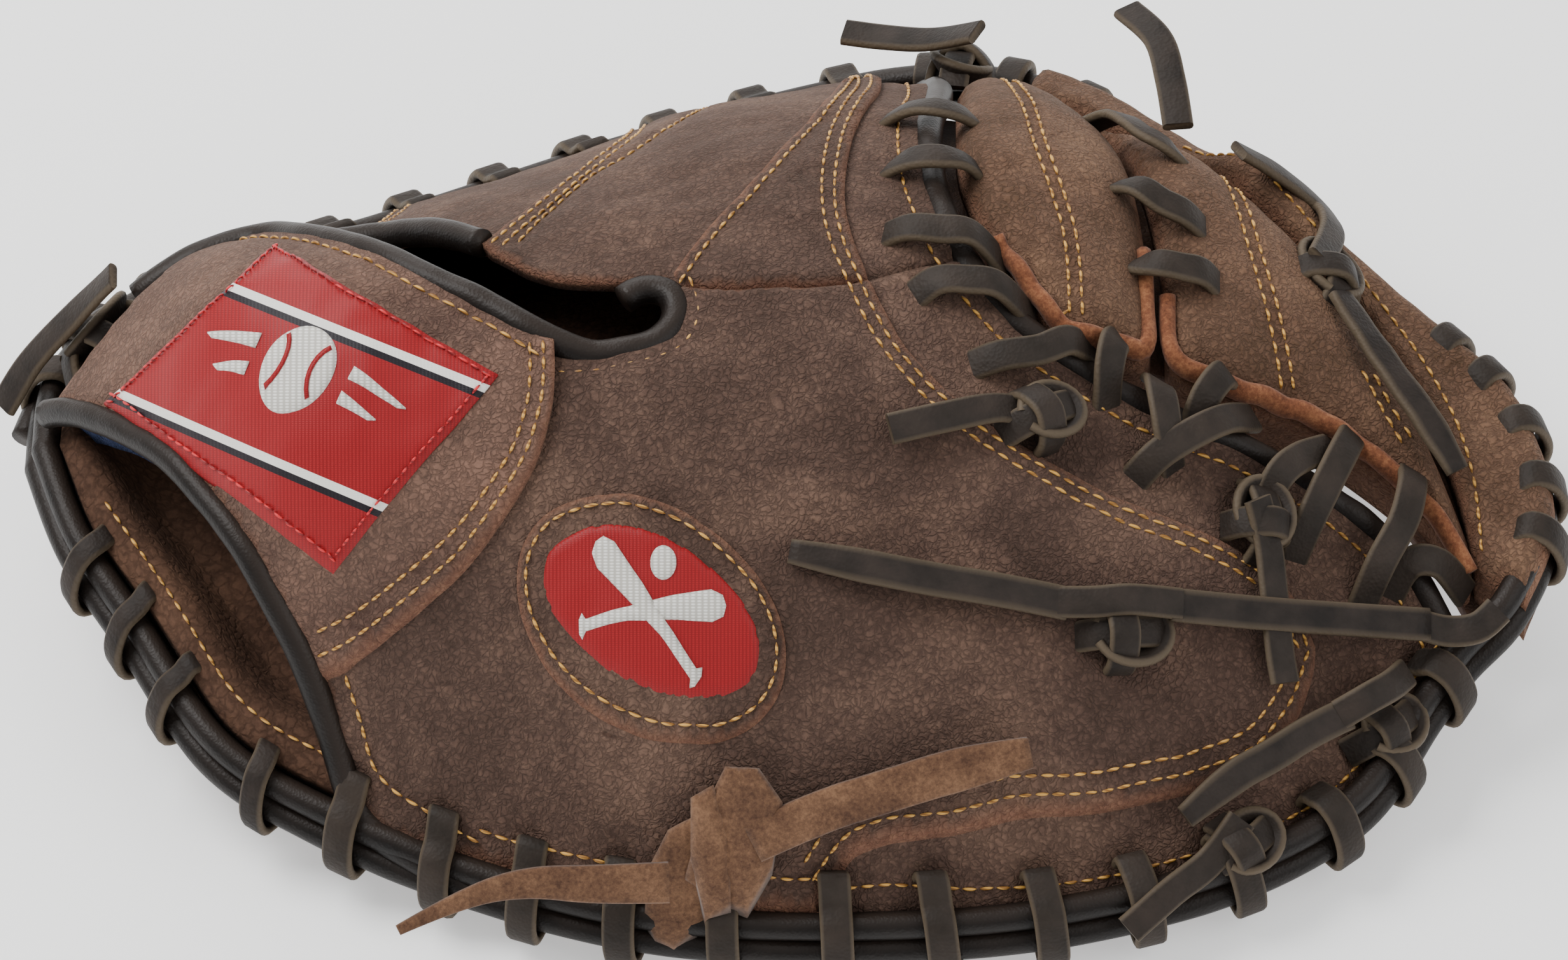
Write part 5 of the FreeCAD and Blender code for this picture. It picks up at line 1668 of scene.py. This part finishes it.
@dataclass
class Lacing:
    """Every lace that is sewn through the mitt: the rim, the crotch and the web."""

    width: float = 6.4
    thickness: float = 2.0

    THUMB_ARCS = (28, 44, 61, 87, 106, 126, 144, 163, 183, 205, 225, 246, 265, 285, 307, 325, 345)
    WEB_ARCS = (381, 394, 408, 422, 433)
    FINGER_ARCS = (533, 552, 571, 590, 609, 628, 647, 666, 685, 704, 723, 742, 761, 780)
    CROTCH = (((36, 48, -1), (41, 46, 2.0), (46, 43, 4.2), (52, 41, 2.5), (56, 39, 0)),
              ((29, 29, -1), (34, 27, 2.0), (39, 25, 4.4), (45, 24, 3.0), (50, 23, 0)),
              ((22, 11, -1), (27, 8, 1.6), (33, 5, 3.8), (39, 3, 4.2), (45, 1, 1)),
              ((22, -5, -1), (28, -5, 1.6), (34, -7, 3.8), (40, -9, 4.2), (46, -11, 1)),
              ((28, -20, -1), (35, -22, 2.4), (43, -23, 4.4), (50, -21, 3.6), (56, -19, 0.5)))
    BETWEEN = (((79, 48, -1), (84, 42, 4.5), (86, 32, 5.6), (90, 27, 4.2), (95, 25, -1)),
               ((72, 20, -1), (77, 14, 4.5), (81, 9, 5.6), (86, 6, 4.6), (92, 4, -1)),
               ((69, 0, -1), (74, -5, 4.5), (79, -7, 5.6), (84, -8, 4.6), (89, -9, -1)))
    FOOT = (((63, -44, -1), (63, -41, 3.6), (64, -36, 5.0), (65, -31, 3.0), (66, -26, -1)),
            ((54, -45, -1), (60, -44, 2.4), (68, -42, 5.2), (76, -39, 4.6), (84, -33, 0)),
            ((77, -53, 3), (83, -50, 5.5), (89, -46, 5.0), (96, -42, 2.0), (99, -38, -1)),
            ((82, -60, -1), (88, -56, 4.6), (94, -50, 6.2), (100, -43, 4.4), (105, -35, 0)),
            ((93, -69, -1), (99, -65, 4.0), (106, -59, 6.0), (111, -51, 4.0), (114, -43, 0)),
            ((100, -67, -1), (105, -65, 2.6), (111, -66, 3.4), (116, -68, 0)),
            ((54, -31, -1), (56, -27, 2.4), (59, -22, 3.0), (62, -17, 0)),
            ((70, -36, -1), (74, -33, 2.6), (79, -29, 3.0), (82, -25, 0)))

    def rim_line(self, arc: float, low: bool = False, inner: float = 6.6, lean: float = 3.0) -> tuple[Array,
                                                                                                      Array]:
        """One loop round both rolled edges: its centre line and width direction.

        Args:
            arc: Distance along the rim from the middle of the heel.
            low: Whether it starts on the lining of the heel, not on the back.
            inner: How far inside the rim it comes through the leather.
            lean: How far it leans along the rim from end to end.

        Returns:
            The centre line and the direction of its width.
        """
        ring = curve(RIM + RIM[:1], 1.0)
        reach = np.r_[0, np.cumsum(np.linalg.norm(np.diff(ring, axis=0), axis=1))]
        here = np.array([np.interp(arc, reach, ring[:, k]) for k in range(3)])
        after = np.array([np.interp(arc + 4, reach, ring[:, k]) for k in range(3)])
        before = np.array([np.interp(arc - 4, reach, ring[:, k]) for k in range(3)])
        ahead = (after - before) / np.linalg.norm(after - before)
        out = np.array([ahead[1], -ahead[0], 0.0])
        out /= np.linalg.norm(out)
        level = PalmFace.lining_top if low else back()

        def rise(inward: float) -> float:
            """Height of the leather some way inside the rim, from the rim's own height."""
            spot = here - out * inward
            return float(level(np.array([spot[0]]), np.array([spot[1]]))[0]) - here[2]

        under = float(palm()(np.array([here[0] - out[0] * 6]),
                             np.array([here[1] - out[1] * 6]))[0]) - here[2]
        shape = [(-inner - 0.9, rise(inner + 0.9) - 3.4), (-inner + 0.1, rise(inner - 0.1) + 0.2),
                 (-inner + 1.6, max(rise(inner - 1.6) + 1.7, 5.2)), (-2.4, 7.0), (1.2, 5.4), (3.6, 1.2),
                 (4.3, -3.2), (2.8, -7.2), (-1.5, max(-8.4, 1.2 - here[2])),
                 (-6.0, max(under - 1.2, 1.2 - here[2])), (-8.0, under + 2.5)]
        count = len(shape) - 1
        points = [here + out * o + np.array([0, 0, z]) + ahead * lean * (k / count - 0.45)
                  for k, (o, z) in enumerate(shape)]
        return curve(points), ahead

    @classmethod
    def holes(cls) -> list[tuple[Array, float, float]]:
        """A dimple in the leather where each rim lace comes through."""
        ring = curve(RIM + RIM[:1], 1.0)
        reach = np.r_[0, np.cumsum(np.linalg.norm(np.diff(ring, axis=0), axis=1))]
        inner = aside_closed(ring, 8.0)
        spots = []
        for arc in cls.THUMB_ARCS + cls.WEB_ARCS + cls.FINGER_ARCS:
            ends = [[np.interp(arc - 1.3 + d, reach, inner[:, k]) for k in range(2)] for d in (-2.2, 2.2)]
            spots.append((np.array(ends), 1.5, 1.3))
        return spots

    def flat_line(self, points: Sequence[Sequence[float]], height: Height) -> tuple[Array, Array]:
        """A lace that lies over the back and dives in at both ends: plan points with a lift each.

        Args:
            points: Plan position and lift of each point.
            height: The surface below.

        Returns:
            The centre line and the direction of its width.
        """
        table = np.array(points, float)
        table[[0, -1], 2] = -3.8
        space = np.c_[table[:, :2], height(table[:, 0], table[:, 1]) + table[:, 2]]
        line = curve(space)
        ahead = np.gradient(line, axis=0)
        across = np.cross(face_normal(height, line), ahead)
        return line, across / np.linalg.norm(across, axis=1)[:, None]

    def build(self, stock: Stock, sweep: LaceSweep) -> None:
        """Makes the rim lace, the crotch and web laces."""
        def rim_row(name: str, arcs: Sequence[float], nodes: Sequence[str], low_until: float = 0,
                    inner: float = 6.6, width: float = 6.4) -> None:
            """One run of rim loops as a piece."""
            rows = []
            for k, arc in enumerate(arcs):
                low = arc < low_until or arc > 770
                rows.append(self.rim_line(arc, low, inner, 3.0 + 1.2 * math.sin(2.3 * k)))
            made = sweep.lay(name, rows, width, self.thickness, stock.lace)
            settle(made, "lace", *nodes)
        rim_row("rim_laces_heel", self.THUMB_ARCS[:4], ["rim_lace_heel"], low_until=96, inner=5.4,
                width=5.0)
        rim_row("rim_laces_thumb", self.THUMB_ARCS[4:], ["rim_lace_thumb"], low_until=96)
        rim_row("rim_laces_web", self.WEB_ARCS, ["web_rim_lace_thumb", "web_rim_lace_finger"])
        rim_row("rim_laces_finger", self.FINGER_ARCS, ["rim_lace_finger"])
        made = sweep.lay("crotch_laces", [self.flat_line(p, back(1.0)) for p in self.CROTCH], self.width,
                         self.thickness, stock.lace)
        settle(made, "lace", "crotch_lace")
        made = sweep.lay("web_tube_laces", [self.flat_line(p, back()) for p in self.BETWEEN], self.width,
                         self.thickness, stock.lace)
        settle(made, "lace")
        made = sweep.lay("web_foot_laces", [self.flat_line(p, back()) for p in self.FOOT], self.width,
                         self.thickness, stock.lace)
        settle(made, "lace", "web_foot_lace")


@dataclass
class Knots:
    """The lace ends tied off: each a ring, an arch through it and short ends."""

    width: float = 6.2
    thickness: float = 2.0
    PLACES = (("crotch", (39, -34), 190, 1.0), ("web_foot", (76, -55), -95, 1.0),
              ("taut", (42, -72), 165, 1.15),
              ("tip", (90, -90), 200, 1.0), ("rim", (55, -104), 205, 0.95),
              ("web_top", (110, -3), 250, 1.2))
    FINGER_PLACES = (("strap", (-119, 68), 200, 1.3), ("finger_tip", (67, 84), 60, 1.0))
    STUBS = (((39, -34, 73), (31, -33, 78), (20, -34, 81), (8, -34, 82)),
             ((76, -56, 58), (76, -62, 52), (74, -71, 46), (72, -79, 41), (71, -85, 37)),
             ((55, -104, 24), (47, -108, 19), (38, -111, 17), (28, -114, 13)),
             ((110, -3, 58), (118, 10, 50), (119, 20, 46), (112, 24, 54), (104, 26, 62)),
             ((101, -77, 34), (107, -79.5, 31.6), (113, -81, 31.8), (118, -79.5, 33.5)),
             ((30, -67.5, 58.8), (37, -69.8, 58.6), (44, -71.2, 58), (54, -72.2, 53.6)),
             ((80, -91.3, 30.6), (86, -90.8, 32.5), (92, -88.5, 31.5), (97, -84, 28)))

    def knot(self, place: tuple[float, float], turn: float, size: float,
             height: Height) -> list[tuple[Array, Array]]:
        """One knot's laces: a flat ring, an arch through it and an arch across.

        Args:
            place: Plan position.
            turn: Direction in degrees.
            size: Share of the usual size.
            height: The surface below.

        Returns:
            Centre line and width direction of each part.
        """
        x, y = place
        spot = np.array([[x, y]], float)
        normal = face_normal(height, spot)[0]
        base = np.array([x, y, float(height(spot[:, 0], spot[:, 1])[0])])
        a = math.radians(turn)
        u = np.array([math.cos(a), math.sin(a), 0.0])
        u -= normal * (u @ normal)
        u /= np.linalg.norm(u)
        v = np.cross(normal, u)
        s = size
        ring = [base + u * (5.4 * s * math.cos(t) - 1) + v * 4.1 * s * math.sin(t)
                + normal * (2.4 + 1.4 * math.sin(t + 0.6)) for t in np.linspace(0.3, 5.9, 12)]
        ring_line = curve(ring)
        centre = base - u
        spin = ring_line - centre
        ring_side = normal * 0.45 + spin / np.linalg.norm(spin, axis=1)[:, None] * 0.9
        arch = [base + u * p + normal * q for p,
                q in ((-8.0 * s, -1.5), (-5.5 * s, 2.8), (0, 5.2), (5 * s, 4.2),
                                                       (8.8 * s, -1.0))]
        over = [base + v * p + u * 1.5 + normal * q for p,
                q in ((-6.2 * s, -1.5), (-5.0 * s, 3.6), (0, 7.2),
                                                                 (5.0 * s, 3.6), (6.2 * s, -1.5))]
        return [(ring_line, ring_side), (curve(arch), v), (curve(over), u)]

    def build(self, stock: Stock, sweep: LaceSweep) -> None:
        """Makes the knots of both bodies, the short ends and the thong knot."""
        for name, places, node in (("knots_thumb", self.PLACES, "lace_knots_thumb"),
                                   ("knots_finger", self.FINGER_PLACES, "lace_knots_finger")):
            lines = [part for _, place, turn,
                     size in places for part in self.knot(place, turn, size, back(0.6))]
            settle(sweep.lay(name, lines, self.width, self.thickness, stock.lace), "lace", node)
        stubs = []
        for points in self.STUBS:
            line = curve(points)
            ahead = np.gradient(line, axis=0)
            stubs.append((line, np.cross(face_normal(back(), line), ahead)))
        settle(sweep.lay("knot_ends_thumb", stubs, self.width, self.thickness, stock.lace), "lace")
        ends = [curve([(-117, 66, 68), (-124, 68, 58), (-134, 68, 47), (-141, 66, 38)]),
                curve([(69, 80, 54), (62, 88, 46), (55, 95, 42), (48, 100, 41)]),
                curve([(95, 36, 62), (98, 48, 62), (100, 60, 61), (98, 72, 58)])]
        lines = [(line, np.cross((0, 0, 1.0), np.gradient(line, axis=0))) for line in ends]
        settle(sweep.lay("knot_ends_finger", lines, self.width, self.thickness, stock.lace), "lace")
        folds = (("fold", ((-13, 1), (-11, 5), (-6, 7), (0, 6), (4, 2), (3, -3), (-2, -4.5), (-9, -4.5),
                           (-12, -2)), 3.4),
                 ("diamond", ((-5, 0), (0, 4.5), (6, 7.5), (12, 5), (15, 0), (11, -5), (5, -7.5),
                              (0, -4.5)), 5.6),
                 ("wrap", ((-3, -6), (2, -6.5), (4, 0), (3, 6), (-1.5, 6.5), (-3.5, 1)), 6.6))
        for name, shape, lift in folds:
            outline = dense(np.array(shape) + np.array(THONG_KNOT), 1.2)
            made = Sheet(outline, back(-lift), 2.4, spacing=1.4, round_over=1.6, edge_drop=1.2, bulge=0.8,
                         bulge_reach=3.0).build("thong_knot_" + name, stock.thong)
            settle(made, "thong", *(["thong_knot"] if name == "fold" else []))


class FreeEnd(Enum):
    """The free ends: route, width, finish name and CAD node."""

    TAUT = ("tail_taut", TAIL_TAUT, 6.6, "lace", "tail_taut_lace", "bare", "loose")
    THONG_RIGHT = ("thong_right", TAIL_THONG_RIGHT, 8.6, "thong", "tail_thong_right", "bare", "loose")
    THONG_LEFT = ("thong_left", TAIL_THONG_LEFT, 8.2, "thong", "tail_thong_left", "bare", "loose")
    WEB_TOP = ("tail_web", TAIL_WEB_TOP, 6.6, "lace", "tail_web_top", "bare", "loose")
    TIP = ("tail_tip", TAIL_TIP, 6.6, "lace", "tail_thumb_tip", "bare", "loose")
    PULLED = ("lace_pulled_tight", TAUT_LACE, 6.6, "lace", "taut_lace", "object", "taut")


def route(name: str, points: Sequence[tuple[float, float, float]]) -> Array:
    """The smooth line of a free end, read from its own NURBS spline.

    Args:
        name: A name for the short-lived curve.
        points: Its control points in millimetres.

    Returns:
        Points along the line in millimetres.
    """
    line = bpy.data.curves.new(name + "_route", "CURVE")
    line.dimensions = "3D"
    line.resolution_u = 10
    spline = line.splines.new("NURBS")
    spline.points.add(len(points) - 1)
    for control, point in zip(spline.points, points):
        control.co = (point[0] * MM, point[1] * MM, point[2] * MM, 1.0)
    spline.order_u = 3
    spline.use_endpoint_u = True
    holder = bpy.data.objects.new(name + "_route", line)
    bpy.context.scene.collection.objects.link(holder)
    drawn = bpy.data.meshes.new_from_object(holder.evaluated_get(bpy.context.evaluated_depsgraph_get()))
    path = np.array([v.co for v in drawn.vertices]) / MM
    bpy.data.objects.remove(holder)
    bpy.data.curves.remove(line)
    bpy.data.meshes.remove(drawn)
    return path


def free_ends(stock: Stock) -> None:
    """Makes every free lace end.

    Args:
        stock: The finishes.
    """
    for end in FreeEnd:
        name, points, width, finish, node, far, lay = end.value
        path = route(name, points)
        ahead = np.gradient(path, axis=0)
        across = np.cross(face_normal(back(), path), ahead)
        share = np.linspace(0, 1, len(path))
        taper = np.ones(len(path))
        if far == "bare":
            taper = 1 - 0.28 * np.clip((share - 0.8) / 0.2, 0, 1) ** 1.5
        if end is FreeEnd.THONG_LEFT:
            taper = 1 - 0.75 * share ** 1.4
        thick = 2.3 if finish == "thong" else 2.0
        made = Strand(path, across, width, thick, sides=12, squareness=2.4, taper=taper)
        piece = made.build(name, getattr(stock, finish))
        settle(piece, finish, node)


@dataclass
class Stitching:
    """Every visible thread row, each stitch set by Geometry Nodes."""

    pitch: float = 3.3

    def row(self, points: Sequence[tuple[float, float]], height: Height, offset: float = 0.0,
            lift: float = 0.0) -> tuple[Array, Array]:
        """One thread row on a surface: its line and normals.

        Args:
            points: Plan points.
            height: The surface.
            offset: Distance to the left.
            lift: Height over the surface.

        Returns:
            The line and its normals.
        """
        flat = aside(curve([p[:2] for p in points]), offset)
        return on(height, flat, lift), face_normal(height, flat)

    def build(self, stock: Stock, rows: Rows) -> None:
        """Sews the gold and red rows."""
        stitch = make_stitch(2.4, 0.34)
        small = make_stitch(2.0, 0.28)
        overlay = OVERLAY_TIP[1:] + OVERLAY_CROTCH[1:] + OVERLAY_FINGER[1:-1] + [(54, 100)]
        rim = BackPanels().rim
        low = back(0.55)
        under = back(2.5)
        gold = {
            "stitches_strap_seam": [self.row(STRAP_SEAM, strap(0.55), d) for d in (-2.1, -4.7)],
            "stitches_strap_edges": [self.row(STRAP_SLOT, strap(0.5), -4.4)],
            "stitches_overlay": [self.row(overlay, low, d) for d in (2.0, 4.5)],
            "stitches_thumb_edge": [self.row(WRIST_THUMB, low, 5.0),
                                    self.row(rim(THUMB_RIM[:3], 6.4), low)],
            "stitches_thumb_rim": [self.row(rim(THUMB_RIM[2:], 6.4), under)],
            "stitches_web_edge": [self.row(WEB_EDGE[:-1], under, 6.0)],
            "stitches_turn": [self.row(SLOT_TURN, low, -4.2)],
            "stitches_index": [self.row(SEAM_INDEX[:-1] + [(45, 98)], low, -2.4)],
            "stitches_middle": [self.row(SEAM_MIDDLE[:-1], back(1.7))],
            "stitches_ring": [self.row(SEAM_RING[:-1] + [(2, 103)], back(1.5), -d) for d in (2.0, 4.5)],
            "stitches_pinky": [self.row(SEAM_PINKY[:-1] + [(-49, 98)], back(2.4), -d) for d in (2.0, 4.5)],
            "stitches_finger_rim": [self.row(rim(FINGER_RIM[1:6], 6.4), back(2.0))],
            "stitches_heel": [self.row(rim(HEEL_RIM[1:], 8.0), PalmFace.lining_top, lift=0.1)]}
        for k, (name, lines) in enumerate(gold.items()):
            made = rows.lay(name, lines, self.pitch, stitch, stock.gold, 11 + k)
            settle(made, "thread")
        self.web_rows(stock, rows, stitch)
        hem = aside_closed(loop(*[side[::-1] for side in LABEL_SIDES[::-1]]), 1.2)
        top = strap()
        lines = [(on(top, hem, 1.0), face_normal(top, hem))]
        settle(rows.lay("stitches_label", lines, 2.6, small, stock.red, 41), "thread")
        oval = OvalPatch().oval(2.4)
        closed = np.vstack([oval, oval[:1]])
        line = (on(back(), closed, 1.15), face_normal(back(), closed))
        settle(rows.lay("stitches_oval", [line], self.pitch, stitch, stock.gold, 43), "thread")
        for pattern in (stitch, small):
            bpy.data.objects.remove(pattern)

    def web_rows(self, stock: Stock, rows: Rows, stitch: bpy.types.Object) -> None:
        """The rows of the web, laid on the bulging tubes themselves.

        Args:
            stock: The finishes.
            rows: The stitch setter.
            stitch: One stitch.
        """
        def on_piece(name: str, points: Sequence[tuple[float, float]], offset: float) -> tuple[Array,
                                                                                               Array]:
            """A row dropped straight down on to a finished piece."""
            flat = aside(curve(points), offset)
            piece = bpy.data.objects[name]
            found, normals = [], []
            for x, y in flat[:, :2] * MM:
                hit, spot, normal, _ = piece.ray_cast((x, y, 0.2), (0, 0, -1))
                if hit:
                    found.append(np.array(spot) / MM)
                    normals.append(np.array(normal))
            return smoothed(np.array(found), 2), np.array(normals)
        lines = [on_piece("web_tube_a", Web.SEAM_A, d) for d in (1.3, -1.3)]
        lines += [on_piece("web_tube_a", [(54, -14), (49, -14)], d) for d in (1.2, -1.2)]
        settle(rows.lay("stitches_tube_a", lines, self.pitch, stitch, stock.gold, 61), "thread")
        lines = [on_piece("web_tube_b", Web.SEAM_B, d) for d in (1.3, -1.3)]
        lines += [on_piece("web_tube_b", Web.SEAM_B_FOOT, d) for d in (1.3, -1.3)]
        settle(rows.lay("stitches_tube_b", lines, self.pitch, stitch, stock.gold, 62), "thread")
        edge = [(121, -64), (125, -48), (126, -28), (121, -2), (110, 26), (100, 46)]
        settle(rows.lay("stitches_web_rim", [on_piece("web_rim_hide", edge, 0.0)], self.pitch, stitch,
                        stock.gold,
                        63), "thread")


@dataclass
class HandLoops:
    """The two finger loops on the lining inside the hand space."""

    width: float = 9.0
    radius: float = 8.6
    hide_mm: float = 1.8

    def build(self, stock: Stock, sweep: LaceSweep) -> None:
        """Makes the thumb loop and the little-finger loop."""
        for name, place, node in (("thumb_loop_hide", (-14, -44), "thumb_loop"),
                                  ("pinky_loop_hide", (-64, 44), "pinky_loop")):
            x, y = place
            base = float(PalmFace.lining_top(np.array([x]), np.array([y]))[0])
            arch = [(x, y + self.radius * math.cos(a), base + self.radius * math.sin(a))
                    for a in np.linspace(-0.1, math.pi + 0.1, 10)]
            made = sweep.lay(name, [(curve(arch), np.array([1.0, 0.1, 0]))], self.width, self.hide_mm,
                             stock.inside)
            settle(made, "liner", node)


class Setting:
    """Floor, lights and camera."""

    AIM = np.array([-2.0, -2.0, 35.0])
    AZIMUTH = -20.0
    ELEVATION = 50.0
    DISTANCE = 2500.0

    def camera(self) -> None:
        """Puts a long lens where it sees the back from the thumb side."""
        turn, tilt = math.radians(self.AZIMUTH), math.radians(self.ELEVATION)
        away = np.array([math.sin(turn) * math.cos(tilt), -math.cos(turn) * math.cos(tilt), math.sin(tilt)])
        lens = bpy.data.cameras.new("camera")
        lens.sensor_width = 36.0
        lens.lens = 36.0 * self.DISTANCE / 308.0
        lens.clip_end = 20.0
        holder = bpy.data.objects.new("camera", lens)
        holder.location = (self.AIM + away * self.DISTANCE) * MM
        holder.rotation_euler = Vector(away).to_track_quat("Z", "Y").to_euler()
        bpy.context.scene.collection.objects.link(holder)
        bpy.context.scene.camera = holder

    def light(self, name: str, place: tuple[float, float, float], size: float, watts: float) -> None:
        """One soft square lamp aimed at the mitt.

        Args:
            name: The lamp's name.
            place: Its position in metres.
            size: Its side in metres.
            watts: Its power.
        """
        lamp = bpy.data.lights.new(name, "AREA")
        lamp.shape = "SQUARE"
        lamp.size = size
        lamp.energy = watts
        holder = bpy.data.objects.new(name, lamp)
        holder.location = place
        holder.rotation_euler = Vector(place).to_track_quat("Z", "Y").to_euler()
        bpy.context.scene.collection.objects.link(holder)

    def build(self) -> None:
        """Makes the pale floor, the sky and the lamps."""
        made = bpy.data.materials.new("pale_floor_paint")
        made.use_nodes = True
        shader = made.node_tree.nodes["Principled BSDF"]
        shader.inputs["Base Color"].default_value = srgb("#fafaf9")
        shader.inputs["Roughness"].default_value = 0.9
        shader.inputs["Emission Color"].default_value = (1.0, 1.0, 1.0, 1.0)
        shader.inputs["Emission Strength"].default_value = 0.5
        floor = mesh_object("floor", np.array([(-3e3, -3e3, -0.4), (3e3, -3e3, -0.4), (3e3, 3e3, -0.4),
                                               (-3e3, 3e3, -0.4)]), [(0, 1, 2, 3)], made, False)
        sky = bpy.data.worlds.new("studio")
        bpy.context.scene.world = sky
        sky.use_nodes = True
        ground = sky.node_tree.nodes["Background"]
        ground.inputs["Color"].default_value = (1.0, 1.0, 1.0, 1.0)
        ground.inputs["Strength"].default_value = 0.62
        self.light("key", (-0.7, 0.5, 1.3), 0.9, 24.0)
        self.light("fill", (1.0, -0.9, 1.1), 1.2, 9.0)
        self.light("back", (0.2, 1.3, 0.8), 0.8, 8.0)


def main() -> None:
    """Builds the mitt in order."""
    logging.basicConfig(level=logging.INFO, format="%(name)s %(message)s")
    setting = Setting()
    setting.camera()
    stock = Stock()
    free_ends(stock)
    sweep, rows = LaceSweep(), Rows()
    PalmFace().build(stock)
    BackPanels().build(stock)
    WristStrap().build(stock)
    OvalPatch().build(stock)
    Web().build(stock)
    Edges().build(stock)
    Lacing().build(stock, sweep)
    Knots().build(stock, sweep)
    HandLoops().build(stock, sweep)
    Stitching().build(stock, rows)
    setting.build()


if __name__ == "__main__":
    main()
